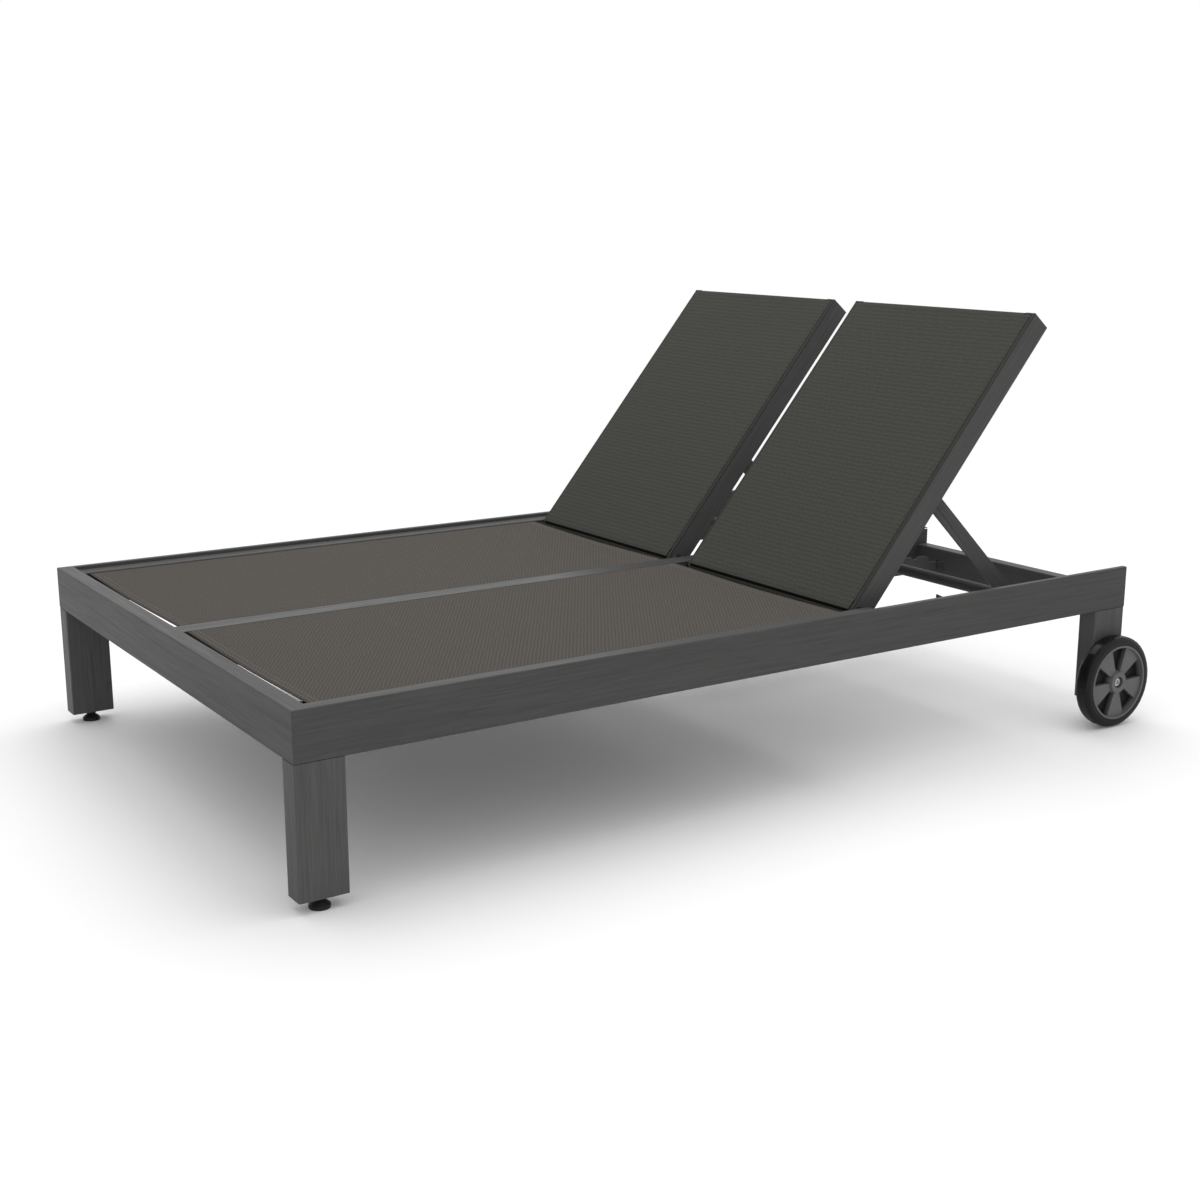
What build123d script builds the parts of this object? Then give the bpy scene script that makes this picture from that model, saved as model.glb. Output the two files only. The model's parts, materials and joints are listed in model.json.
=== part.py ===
from build123d import *
import math
import os

# Double chaise lounger, foot end towards -X, head end towards +X, floor at Z = 0.
# The near half lies on the -Y side, and the far half is its mirror image.

# Base frame
frame_length = 1960.0
frame_width = 1278.0
rail_top = 347.3
rail_height = 90.0
rail_wall = 2.0
rail_edge = 1.5
foot_rail_depth = 34.2
side_rail_thick = 13.0
head_rail_depth = 31.0
head_rail_height = 70.0
centre_rail_width = 48.6
centre_rail_height = 80.0
centre_rail_drop = 10.0
sling_rail_width = 40.5
sling_rail_height = 45.0
sling_rail_drop = 8.0
sling_rail_past_hinge = 22.0
seat_bar_width = 40.0
seat_bar_height = 25.0
seat_bar_span = 373.0
last_seat_bar_back = 62.0
rear_seat_bar_height = 38.0
front_seat_bars = 2
gusset_leg = 92.0
gusset_thick = 4.0
gusset_drop = 11.0

# Legs, their brackets and what closes them
leg_depth = 90.0
leg_thick = 45.8
leg_wall = 2.5
leg_edge = 2.0
foot_leg_bottom = 22.3
head_leg_bottom = 58.0
leg_plug_height = 30.0
leg_cap_height = 14.0
leg_fit_gap = 0.3
bracket_plate = 4.0
bracket_flange = 30.0
bracket_length = 56.0
leg_bolt_diameter = 8.0
leg_bolt_length = 24.0
leg_bolt_head_diameter = 13.0
leg_bolt_head_height = 5.0
leg_bolt_pitch = 28.0
bolt_gap = 0.1

# Levelling glides under the foot legs
glide_flange_diameter = 37.0
glide_flange_height = 6.0
glide_neck_diameter = 22.0
glide_collar_height = 6.0
glide_stem_diameter = 10.0
glide_stem_length = 48.0
glide_stem_gap = 0.05
glide_chamfer = 1.5

# Wheels and axles
wheel_radius = 101.5
wheel_width = 38.0
wheel_from_head = 51.0
wheel_side_gap = 5.0
tyre_depth = 19.0
tyre_shoulder = 11.0
tyre_bead = 1.2
shoulder_steps = 3
rim_lip = 4.5
rim_inset = 2.5
rim_barrel = 7.0
web_thick = 5.0
web_depth = 20.0
spoke_count = 5
spoke_gap_degrees = 34.0
spoke_face_inset = 5.0
hub_radius = 23.0
hub_recess_radius = 12.5
hub_recess_depth = 11.0
hub_back_gap = 0.5
axle_diameter = 10.0
axle_bush_wall = 2.0
axle_gap = 0.05
axle_head_diameter = 17.0
axle_head_height = 6.0
axle_washer_diameter = 24.0
axle_washer_thick = 1.5
axle_nut_width = 17.0
axle_nut_height = 8.0
axle_tail = 12.0
rib_thick = 3.0

# Sling cloth and the rods that hold it in its grooves
cloth_thick = 1.2
seat_cloth_drop = 12.0
seat_cloth_foot_gap = 13.8
seat_cloth_hinge_gap = 17.8
rod_diameter = 5.0
groove_diameter = 8.0
groove_wall = 2.0
groove_slot_gap = 0.3
groove_slot = 2.0
groove_lip = 1.6

# Backrests
back_angle = 50.0
back_low = 0.0
back_high = 60.0
back_reach = 731.5
back_depth = 49.0
hinge_behind_face = 16.5
member_width = 25.5
member_wall = 2.0
member_slot_inset = 9.5
flat_gap = 0.3
hinge_side_gap = 0.3
hinge_washer_thick = 1.7
hinge_spacer_length = 13.0
hinge_pin_diameter = 10.0
hinge_pin_gap = 0.05
hinge_pin_reach = 26.0
hinge_bush_diameter = 16.0
hinge_washer_diameter = 22.0
bush_fit_gap = 0.05
top_bar_depth = 40.0
top_bar_height = 25.0
top_bar_round = 6.0
bottom_tube_wall = 2.0
spreader_reach = 240.0
spreader_depth = 30.0
spreader_width = 20.0
member_cap_inset = 2.0
member_cap_length = 12.0
cloth_side_gap = 1.0
cloth_bite = 4.2

# Props that hold the backrests up, and their toothed racks
prop_reach = 296.9
prop_length = 364.9
prop_tube_height = 298.7
prop_ratio = 1.8
prop_arm_width = 35.0
prop_arm_thick = 6.0
prop_arm_gap = 1.0
prop_bolt_diameter = 8.0
prop_bolt_gap = 0.05
prop_bolt_head_diameter = 14.0
prop_bolt_head_height = 4.5
prop_bolt_inside = 16.0
prop_tube_diameter = 25.0
prop_tube_wall = 2.0
prop_weld_gap = 0.1
rack_thick = 6.0
rack_from_arm = 20.0
rack_bar_drop = 79.3
rack_bar_height = 22.0
rack_clearance = 0.5
rack_start_margin = 20.0
rack_end_margin = 4.0
rack_slope = 8.0
notch_depth = 6.0
notch_round_gap = 0.5
notch_angle_step = 10.0
notch_lowest_angle = 20.0
rack_tab_back = 108.0
rack_tab_width = 20.0
rack_tab_drop = 25.0
rack_tab_fall = 9.0
rack_foot_width = 24.0
rack_foot_thick = 4.0
rack_foot_height = 28.0
rack_screw_drop = 4.0
rack_screw_diameter = 5.0
rack_screw_head_diameter = 9.0
rack_screw_head_height = 2.5
rack_screw_bite = 8.0

# Sides of small bars and turned pieces that need not be quite round
screw_sides = 8
washer_sides = 12
rod_sides = 8
glide_sides = 20
wheel_sides = 40

overrun = 5.0

# Places worked out from the sizes above
wheel_overhang = wheel_radius - wheel_from_head
foot_face = -(frame_length + wheel_overhang) / 2
head_face = foot_face + frame_length
near_face = -frame_width / 2
rail_bottom = rail_top - rail_height
near_inner = near_face + side_rail_thick
centre_face = -centre_rail_width / 2
centre_top = rail_top - centre_rail_drop
sling_rail_top = rail_top - sling_rail_drop
sling_rail_bottom = sling_rail_top - sling_rail_height
sling_rail_inner = near_inner + sling_rail_width
cloth_top = rail_top - seat_cloth_drop
hinge_x = head_face - back_reach
hinge_z = rail_top - hinge_behind_face
head_rail_top = rail_top - back_depth - flat_gap
back_near = sling_rail_inner + hinge_washer_thick + hinge_side_gap
back_far = centre_face - hinge_spacer_length - hinge_side_gap
wheel_x = head_face - wheel_from_head
wheel_outer = near_face - wheel_side_gap - wheel_width
rack_top = rail_top - rack_bar_drop
rack_bottom = rack_top - rack_bar_height
rack_start = hinge_x - last_seat_bar_back + seat_bar_width / 2
rack_end = head_face - head_rail_depth
prop_offset = back_depth / 2 - hinge_behind_face


def prop_pivot_at(angle):
    """X and Z of the prop's pivot when the backrest is at this angle."""
    turn = math.radians(angle)
    x = hinge_x + prop_reach * math.cos(turn) + prop_offset * math.sin(turn)
    z = hinge_z + prop_reach * math.sin(turn) - prop_offset * math.cos(turn)
    return x, z


def prop_drop_at(angle):
    """Degrees below level of the prop when the backrest is at this angle."""
    rest_z = prop_pivot_at(back_angle)[1]
    rest = math.degrees(math.asin((rest_z - prop_tube_height) / prop_length))
    return rest + (prop_ratio - 1) * (angle - back_angle)


def prop_tube_at(angle):
    """X and Z of the prop tube's centre when the backrest is at this angle."""
    x, z = prop_pivot_at(angle)
    drop = math.radians(prop_drop_at(angle))
    return x + prop_length * math.cos(drop), z - prop_length * math.sin(drop)


def block(x0, x1, y0, y1, z0, z1):
    """A square-edged block between two corners."""
    middle = Pos((x0 + x1) / 2, (y0 + y1) / 2, (z0 + z1) / 2)
    return middle * Box(x1 - x0, y1 - y0, z1 - z0)


def round_bar(radius, length, sides=None):
    """A round bar along Z, or a prism with flats that just touch the same circle."""
    if sides is None:
        return Cylinder(radius, length)
    outline = RegularPolygon(radius, sides, major_radius=False, rotation=180 / sides)
    return extrude(outline, length / 2, both=True)


def rod_y(radius, x, z, y0, y1, sides=None):
    """A bar along Y."""
    return Pos(x, (y0 + y1) / 2, z) * Rot(90, 0, 0) * round_bar(radius, y1 - y0, sides)


def rod_x(radius, y, z, x0, x1, sides=None):
    """A bar along X."""
    return Pos((x0 + x1) / 2, y, z) * Rot(0, 90, 0) * round_bar(radius, x1 - x0, sides)


def rod_z(radius, x, y, z0, z1, sides=None):
    """A bar along Z."""
    return Pos(x, y, (z0 + z1) / 2) * round_bar(radius, z1 - z0, sides)


def tube_along(axis, x0, x1, y0, y1, z0, z1, wall, edge):
    """A rectangular tube with eased outer edges, open at both ends."""
    spans = {Axis.X: (y1 - y0, z1 - z0), Axis.Y: (x1 - x0, z1 - z0), Axis.Z: (x1 - x0, y1 - y0)}
    turns = {Axis.X: Rot(90, 90, 0), Axis.Y: Rot(90, 0, 0), Axis.Z: Rot(0, 0, 0)}
    lengths = {Axis.X: x1 - x0, Axis.Y: y1 - y0, Axis.Z: z1 - z0}
    wide, high = spans[axis]
    outline = Rectangle(wide, high)
    outline = chamfer(outline.vertices(), edge) - Rectangle(wide - 2 * wall, high - 2 * wall)
    bar = extrude(outline, lengths[axis] / 2, both=True)
    return Pos((x0 + x1) / 2, (y0 + y1) / 2, (z0 + z1) / 2) * turns[axis] * bar


def far(shape):
    """The far twin of a piece on the near half."""
    return mirror(shape, about=Plane.XZ)


def raised(shape):
    """A piece drawn with the backrest flat, turned up to its angle in the photograph."""
    return shape.rotate(Axis((hinge_x, 0, hinge_z), (0, 1, 0)), -back_angle)


def mitre_wedge(on_rail):
    """The corner that a rail gives up where the foot rail meets a side rail."""
    outer = (foot_face, near_face)
    inner = (foot_face + foot_rail_depth, near_inner)
    corner = (inner[0], outer[1]) if on_rail == "foot" else (outer[0], inner[1])
    face = make_face(Polyline(outer, inner, corner, close=True))
    return Pos(0, 0, rail_bottom - overrun) * extrude(face, rail_height + 2 * overrun)


def foot_rail():
    rail = tube_along(Axis.Y, foot_face, foot_face + foot_rail_depth, near_face, -near_face,
                      rail_bottom, rail_top, rail_wall, rail_edge)
    wedge = mitre_wedge("foot")
    return rail - wedge - far(wedge)


def side_rail():
    rail = tube_along(Axis.X, foot_face, head_face, near_face, near_inner,
                      rail_bottom, rail_top, rail_wall, rail_edge)
    end = block(head_face - rail_wall, head_face, near_face + rail_wall, near_inner - rail_wall,
                rail_bottom + rail_wall, rail_top - rail_wall)
    return rail + end - mitre_wedge("side")


def head_rail():
    """Set low, so that the backrests lie on it, and cut away over the tops of the legs."""
    bottom = head_rail_top - head_rail_height
    rail = tube_along(Axis.Y, head_face - head_rail_depth, head_face, near_inner, -near_inner,
                      bottom, head_rail_top, rail_wall, rail_edge)
    notch = block(head_face - head_rail_depth - overrun, head_face + overrun,
                  near_inner - overrun, near_face + leg_thick + leg_fit_gap,
                  bottom - overrun, rail_bottom)
    holes = rack_screw_holes()
    return rail - notch - far(notch) - holes - far(holes)


def groove_cut(y_face, inward, x0, x1):
    """The round groove and side slot that grip a cloth edge, cut along X."""
    y_rod = y_face + inward * (groove_wall + groove_diameter / 2)
    z_rod = cloth_top - cloth_thick - rod_diameter / 2
    slot_top = cloth_top + groove_slot_gap
    slot = block(x0, x1, min(y_rod, y_face - inward * overrun), max(y_rod, y_face - inward * overrun),
                 slot_top - groove_slot, slot_top)
    return rod_x(groove_diameter / 2, y_rod, z_rod, x0, x1, rod_sides) + slot


def groove_post(y_face, inward, top, x0, x1):
    """The solid corner of a rail that a groove is cut in."""
    depth = 2 * groove_wall + groove_diameter
    z_rod = cloth_top - cloth_thick - rod_diameter / 2
    low = z_rod - groove_diameter / 2 - groove_wall
    return block(x0, x1, min(y_face, y_face + inward * depth), max(y_face, y_face + inward * depth),
                 low, top - rail_wall)


def centre_rail():
    """Carries both inner cloth edges, and is notched to sit over the head rail."""
    x0 = foot_face + foot_rail_depth
    bottom = centre_top - centre_rail_height
    rail = tube_along(Axis.X, x0, head_face, centre_face, -centre_face, bottom, centre_top,
                      rail_wall, rail_edge)
    posts = groove_post(centre_face, 1, centre_top, x0, head_face)
    grooves = groove_cut(centre_face, 1, x0 - overrun, head_face + overrun)
    end = block(head_face - rail_wall, head_face, centre_face + rail_wall, -centre_face - rail_wall,
                bottom, centre_top - rail_wall)
    notch = block(head_face - head_rail_depth, head_face + overrun, centre_face - overrun,
                  overrun - centre_face, bottom - overrun, head_rail_top)
    rail = rail + posts + far(posts) + end - grooves - far(grooves) - notch
    hinge_hole = rod_y(hinge_pin_diameter / 2 + bolt_gap, hinge_x, hinge_z,
                       centre_face - overrun, overrun - centre_face, washer_sides)
    return rail - hinge_hole


def sling_rail():
    """Holds the outer cloth edge of a seat and the outer hinge pin of its backrest."""
    x0 = foot_face + foot_rail_depth
    x1 = hinge_x + sling_rail_past_hinge
    rail = tube_along(Axis.X, x0, x1, near_inner, sling_rail_inner, sling_rail_bottom, sling_rail_top,
                      rail_wall, rail_edge)
    post = groove_post(sling_rail_inner, -1, sling_rail_top, x0, x1)
    groove = groove_cut(sling_rail_inner, -1, x0 - overrun, x1 + overrun)
    end = block(x1 - rail_wall, x1, near_inner + rail_wall, sling_rail_inner - rail_wall,
                sling_rail_bottom + rail_wall, sling_rail_top - rail_wall)
    hinge_hole = rod_y(hinge_pin_diameter / 2 + bolt_gap, hinge_x, hinge_z,
                       sling_rail_inner - sling_rail_width / 2, sling_rail_inner + overrun,
                       washer_sides)
    return rail + post + end - groove - hinge_hole


def seat_bar(number):
    """A cross bar under a seat. Bar 0 is the deep one near the hinge, which the racks start from."""
    x1 = rack_start - number * seat_bar_span
    height = seat_bar_height if number else rear_seat_bar_height
    bar = tube_along(Axis.Y, x1 - seat_bar_width, x1, near_inner, centre_face,
                     sling_rail_bottom - height, sling_rail_bottom, rail_wall, rail_edge)
    return bar if number else bar - rack_screw_holes()


def foot_gusset():
    """The plate that stiffens the corner of foot rail and sling rail."""
    x0 = foot_face + foot_rail_depth
    y0 = sling_rail_inner
    face = make_face(Polyline((x0, y0), (x0 + gusset_leg, y0), (x0, y0 + gusset_leg), close=True))
    top = cloth_top - gusset_drop
    return Pos(0, 0, top - gusset_thick) * extrude(face, gusset_thick)


def leg(x0, bottom):
    return tube_along(Axis.Z, x0, x0 + leg_depth, near_face, near_face + leg_thick,
                      bottom, rail_bottom, leg_wall, leg_edge)


def leg_fill(x0, z0, z1):
    """A block that fits inside a leg tube."""
    inset = leg_wall + leg_fit_gap
    return block(x0 + inset, x0 + leg_depth - inset, near_face + inset,
                 near_face + leg_thick - inset, z0, z1)


def leg_bolt_places(x0, x1):
    middle = (x0 + x1) / 2
    return [middle - leg_bolt_pitch / 2, middle + leg_bolt_pitch / 2]


def leg_bracket_span(at_foot):
    """First and last X of a bracket, clear of the foot rail or the head rail."""
    if at_foot:
        start = foot_face + foot_rail_depth
        return start, start + bracket_length
    end = head_face - head_rail_depth
    return end - bracket_length, end


def leg_bolt_y():
    return near_inner + bracket_plate + leg_bolt_head_diameter / 2 + leg_fit_gap


def leg_plug(x0, at_foot):
    plug = leg_fill(x0, rail_bottom - leg_plug_height, rail_bottom)
    for x in leg_bolt_places(*leg_bracket_span(at_foot)):
        plug -= rod_z(leg_bolt_diameter / 2 + bolt_gap, x, leg_bolt_y(),
                      rail_bottom - leg_bolt_length, rail_bottom + overrun, screw_sides)
    return plug


def leg_bracket(at_foot):
    """The angle that bolts a leg to its side rail."""
    x0, x1 = leg_bracket_span(at_foot)
    plate = block(x0, x1, near_inner, near_face + leg_thick, rail_bottom, rail_bottom + bracket_plate)
    flange = block(x0, x1, near_inner, near_inner + bracket_plate,
                   rail_bottom, rail_bottom + bracket_flange)
    bracket = plate + flange
    for x in leg_bolt_places(x0, x1):
        bracket -= rod_z(leg_bolt_diameter / 2 + bolt_gap, x, leg_bolt_y(),
                         rail_bottom - overrun, rail_bottom + bracket_plate + overrun, screw_sides)
    return bracket


def leg_bolts(at_foot):
    """Bolts from the bracket down into the plug."""
    bolts = []
    top = rail_bottom + bracket_plate
    for x in leg_bolt_places(*leg_bracket_span(at_foot)):
        shank = rod_z(leg_bolt_diameter / 2, x, leg_bolt_y(), rail_bottom - leg_bolt_length, top,
                      screw_sides)
        head = Pos(x, leg_bolt_y(), top) * extrude(
            RegularPolygon(leg_bolt_head_diameter / 2, 6), leg_bolt_head_height)
        bolts.append(shank + head)
    return bolts


def glide_place():
    return foot_face + leg_depth / 2, near_face + leg_thick / 2


def foot_leg_cap():
    """The insert in a foot leg, threaded for its glide."""
    x, y = glide_place()
    cap = leg_fill(foot_face, foot_leg_bottom, foot_leg_bottom + leg_cap_height)
    bore = rod_z(glide_stem_diameter / 2 + glide_stem_gap, x, y,
                 foot_leg_bottom - overrun, foot_leg_bottom + leg_cap_height + overrun)
    return cap - bore


def head_leg_cap():
    return leg_fill(head_face - leg_depth, head_leg_bottom, head_leg_bottom + leg_cap_height)


def turned(points, sides):
    """A turned piece about Z, with narrow flats all round. Points are radius and height."""
    turns = [math.radians(360 * number / sides) for number in range(sides)]
    rings = [[(r * math.cos(turn), r * math.sin(turn), z) for turn in turns] for r, z in points]
    faces = []
    for ring, following in zip(rings, rings[1:] + rings[:1]):
        for here in range(sides):
            there = (here + 1) % sides
            corners = list(dict.fromkeys([ring[here], ring[there], following[there], following[here]]))
            if len(corners) > 2:
                faces.append(make_face(Polyline(*corners, close=True)).face())
    return Solid(Shell(faces))


def glide():
    """A levelling foot: a flared pad, a tapered neck, a collar and a round stem."""
    x, y = glide_place()
    flare = glide_flange_diameter / 2
    neck = glide_neck_diameter / 2
    collar_top = foot_leg_bottom - leg_fit_gap
    collar_bottom = collar_top - glide_collar_height
    stem = glide_stem_diameter / 2
    pad = turned([(0, 0), (flare, 0), (flare, glide_flange_height), (stem + glide_chamfer, collar_bottom),
                  (neck, collar_bottom), (neck, collar_top), (0, collar_top)], glide_sides)
    return Pos(x, y, 0) * pad + rod_z(stem, x, y, collar_bottom, glide_stem_length)


def wheel_ring(points):
    """A turned piece of the wheel. Points are radius and distance from the outer face."""
    place = Pos(wheel_x, wheel_outer, wheel_radius) * Rot(-90, 0, 0)
    return place * turned(points, wheel_sides)


def tyre():
    """A solid tyre. Its round shoulders are made of narrow flat bands."""
    inner = wheel_radius - tyre_depth
    points = [(inner, tyre_bead), (inner + tyre_bead, 0)]
    for side in (0, 1):
        bend = wheel_width - tyre_shoulder if side else tyre_shoulder
        for step in range(shoulder_steps + 1):
            turn = math.radians(90 * (step / shoulder_steps + side))
            points.append((wheel_radius - tyre_shoulder * (1 - math.sin(turn)),
                           bend - tyre_shoulder * math.cos(turn)))
    points += [(inner + tyre_bead, wheel_width), (inner, wheel_width - tyre_bead)]
    return wheel_ring(points)


def wheel_sector(radius_in, radius_out, degrees, middle, y0, y1):
    """A wedge of a ring about the axle, as wide as an angle."""
    half = math.radians(degrees / 2)
    reach = radius_out / math.cos(half)
    wedge = make_face(Polyline((0, 0), (reach * math.cos(half), -reach * math.sin(half)),
                               (reach * math.cos(half), reach * math.sin(half)), close=True))
    ring = Circle(radius_out) - Circle(radius_in)
    flat = Rot(0, 0, middle) * (wedge & ring)
    solid = extrude(flat, y1 - y0)
    return Pos(wheel_x, y1, wheel_radius) * Rot(90, 0, 0) * solid


def wheel_rim():
    """A moulded rim with five broad raised spokes between sunk panels."""
    barrel_out = wheel_radius - tyre_depth
    barrel_in = barrel_out - rim_barrel
    back = wheel_width - rim_inset
    web0 = web_depth
    web1 = web_depth + web_thick
    bore = axle_diameter / 2 + axle_bush_wall
    hub_back = wheel_width + wheel_side_gap - hub_back_gap - axle_washer_thick
    rim = wheel_ring([
        (0, hub_recess_depth), (hub_recess_radius, hub_recess_depth), (hub_recess_radius, 0),
        (hub_radius, 0), (hub_radius + web_thick, web0), (barrel_in, web0),
        (barrel_out - rim_lip, rim_inset), (barrel_out - rim_lip, 0), (barrel_out, 0),
        (barrel_out, back), (barrel_in, back), (barrel_in, web1), (hub_radius, web1),
        (hub_radius, hub_back), (0, hub_back)])
    pitch = 360 / spoke_count
    for number in range(spoke_count):
        middle = 90 + pitch / 2 + number * pitch
        spoke = wheel_sector(hub_radius, barrel_out - rim_lip, pitch - spoke_gap_degrees, middle,
                             wheel_outer + spoke_face_inset, wheel_outer + web0 + web_thick / 2)
        rim += spoke
        rib = block(wheel_x + hub_radius - rib_thick, wheel_x + barrel_in + rib_thick / 2,
                    wheel_outer + web1 - rib_thick / 2, wheel_outer + back - rib_thick,
                    wheel_radius - rib_thick / 2, wheel_radius + rib_thick / 2)
        rim += rib.rotate(Axis((wheel_x, 0, wheel_radius), (0, 1, 0)), -middle)
    return rim - rod_y(bore, wheel_x, wheel_radius, wheel_outer, near_face, washer_sides)


def wheel_bush():
    """The plain bearing in the hub."""
    hub_back = wheel_outer + wheel_width + wheel_side_gap - hub_back_gap - axle_washer_thick
    sleeve = rod_y(axle_diameter / 2 + axle_bush_wall - bush_fit_gap, wheel_x, wheel_radius,
                   wheel_outer + hub_recess_depth, hub_back, washer_sides)
    bore = rod_y(axle_diameter / 2 + axle_gap, wheel_x, wheel_radius,
                 wheel_outer, near_face)
    return sleeve - bore


def axle_bolt():
    """Runs from the hub recess through the leg, with its nut on the leg's inner face."""
    head_back = wheel_outer + hub_recess_depth - hub_back_gap
    head_front = head_back - axle_head_height
    head = rod_y(axle_head_diameter / 2, wheel_x, wheel_radius, head_front, head_back, washer_sides)
    socket = Pos(wheel_x, head_front + axle_head_height / 2, wheel_radius) * Rot(90, 0, 0) * extrude(
        RegularPolygon(axle_diameter / 2, 6), axle_head_height)
    shank = rod_y(axle_diameter / 2, wheel_x, wheel_radius, head_back,
                  near_face + leg_thick + axle_tail)
    return head - socket + shank


def washer(radius, bore_radius, x, z, y0, thick):
    """A flat ring about Y, with a small gap to what it is on."""
    ring = rod_y(radius, x, z, y0, y0 + thick, washer_sides)
    return ring - rod_y(bore_radius + bolt_gap, x, z, y0 - overrun, y0 + thick + overrun, washer_sides)


def axle_washers():
    """One washer between wheel and leg, one under the nut."""
    return [washer(axle_washer_diameter / 2, axle_diameter / 2, wheel_x, wheel_radius, y0,
                   axle_washer_thick)
            for y0 in (near_face - axle_washer_thick, near_face + leg_thick)]


def axle_nut():
    y0 = near_face + leg_thick + axle_washer_thick
    nut = Pos(wheel_x, y0, wheel_radius) * Rot(-90, 0, 0) * extrude(
        RegularPolygon(axle_nut_width / 2, 6, major_radius=False), axle_nut_height)
    return nut - rod_y(axle_diameter / 2 + bolt_gap, wheel_x, wheel_radius,
                       y0 - overrun, y0 + axle_nut_height + overrun, washer_sides)


def head_leg():
    tube = leg(head_face - leg_depth, head_leg_bottom)
    return tube - rod_y(axle_diameter / 2 + bolt_gap, wheel_x, wheel_radius,
                        near_face - overrun, near_face + leg_thick + overrun, washer_sides)


def seat_cloth():
    """A flat stretched sheet between the sling rail and the centre rail."""
    bite = groove_wall + groove_diameter / 2
    return block(foot_face + foot_rail_depth + seat_cloth_foot_gap,
                 hinge_x - hinge_behind_face - cloth_thick - seat_cloth_hinge_gap,
                 sling_rail_inner - bite, centre_face + bite, cloth_top - cloth_thick, cloth_top)


def seat_rods():
    """The plastic rods in the two cloth edges of a seat."""
    bite = groove_wall + groove_diameter / 2
    x0 = foot_face + foot_rail_depth + seat_cloth_foot_gap
    x1 = hinge_x - hinge_behind_face - cloth_thick - seat_cloth_hinge_gap
    z = cloth_top - cloth_thick - rod_diameter / 2
    return [rod_x(rod_diameter / 2, y, z, x0, x1, rod_sides)
            for y in (sling_rail_inner - bite, centre_face + bite)]


def member_outline(width):
    """Side view of a backrest member lying flat: rounded about the hinge at its lower end."""
    low = rail_top - back_depth
    lead = hinge_behind_face
    sketch = Pos((hinge_x + head_face) / 2, (rail_top + low) / 2) * Rectangle(
        head_face - hinge_x, back_depth)
    nose = Pos(hinge_x, hinge_z) * Circle(lead)
    heel = make_face(Polyline((hinge_x - lead, hinge_z), (hinge_x, low), (hinge_x, rail_top), close=True))
    face = sketch + nose + heel
    return Pos(0, width / 2, 0) * Rot(90, 0, 0) * extrude(face, width / 2, both=True)


def back_member(outer):
    """A deep hollow side member with a cloth groove in its front face."""
    y0 = back_near if outer else back_far - member_width
    y_slot = back_near + member_slot_inset if outer else back_far - member_slot_inset
    body = Pos(0, y0, 0) * member_outline(member_width)
    hollow_low = rail_top - back_depth + member_wall
    hollow_top = rail_top - groove_lip - groove_diameter - member_wall
    hollow = block(hinge_x + hinge_behind_face, head_face + overrun, y0 + member_wall,
                   y0 + member_width - member_wall, hollow_low, hollow_top)
    x0 = hinge_x + hinge_behind_face
    groove = rod_x(groove_diameter / 2, y_slot, rail_top - groove_lip - groove_diameter / 2,
                   x0, head_face + overrun, rod_sides)
    slot = block(x0, head_face + overrun, y_slot - groove_slot / 2, y_slot + groove_slot / 2,
                 rail_top - groove_lip - groove_diameter / 2, rail_top + overrun)
    hinge_hole = rod_y(hinge_bush_diameter / 2, hinge_x, hinge_z, y0 - overrun,
                       y0 + member_width + overrun, washer_sides)
    bolt_x = hinge_x + prop_reach
    bolt_z = hinge_z - prop_offset
    prop_side = y0 + member_width if outer else y0
    prop_hole = rod_y(prop_bolt_diameter / 2 + bolt_gap, bolt_x, bolt_z,
                      prop_side - prop_bolt_inside, prop_side + prop_bolt_inside, washer_sides)
    return raised(body - hollow - groove - slot - hinge_hole - prop_hole)


def member_cap(outer):
    """The plug that closes the top end of a side member."""
    y0 = back_near if outer else back_far - member_width
    inset = member_wall + leg_fit_gap
    low = rail_top - back_depth + inset
    top = rail_top - groove_lip - groove_diameter - inset
    x1 = head_face - member_cap_inset
    return raised(block(x1 - member_cap_length, x1, y0 + inset, y0 + member_width - inset, low, top))


def hinge_bush(outer):
    y0 = back_near if outer else back_far - member_width
    sleeve = rod_y(hinge_bush_diameter / 2 - bush_fit_gap, hinge_x, hinge_z, y0, y0 + member_width,
                   washer_sides)
    bore = rod_y(hinge_pin_diameter / 2 + hinge_pin_gap, hinge_x, hinge_z,
                 y0 - overrun, y0 + member_width + overrun)
    return raised(sleeve - bore)


def outer_hinge_pin():
    """A pin that the sling rail holds, with its washer."""
    return rod_y(hinge_pin_diameter / 2, hinge_x, hinge_z,
                 sling_rail_inner - sling_rail_width / 2, back_near + hinge_pin_reach)


def outer_hinge_washer():
    return washer(hinge_washer_diameter / 2, hinge_pin_diameter / 2, hinge_x, hinge_z,
                  sling_rail_inner, hinge_washer_thick)


def centre_hinge_pin():
    """One pin through the centre rail, shared by both backrests."""
    reach = back_far - hinge_pin_reach
    return rod_y(hinge_pin_diameter / 2, hinge_x, hinge_z, reach, -reach)


def centre_spacer():
    return washer(hinge_washer_diameter / 2, hinge_pin_diameter / 2, hinge_x, hinge_z,
                  centre_face - hinge_spacer_length, hinge_spacer_length)


def inner_span():
    """Y between the inner faces of a backrest's two side members."""
    return back_near + member_width, back_far - member_width


def bottom_tube():
    """A round tube about the hinge line, which the cloth passes round."""
    y0, y1 = inner_span()
    tube = rod_y(hinge_behind_face, hinge_x, hinge_z, y0, y1)
    return raised(tube - rod_y(hinge_behind_face - bottom_tube_wall, hinge_x, hinge_z,
                               y0 - overrun, y1 + overrun, washer_sides))


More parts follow.
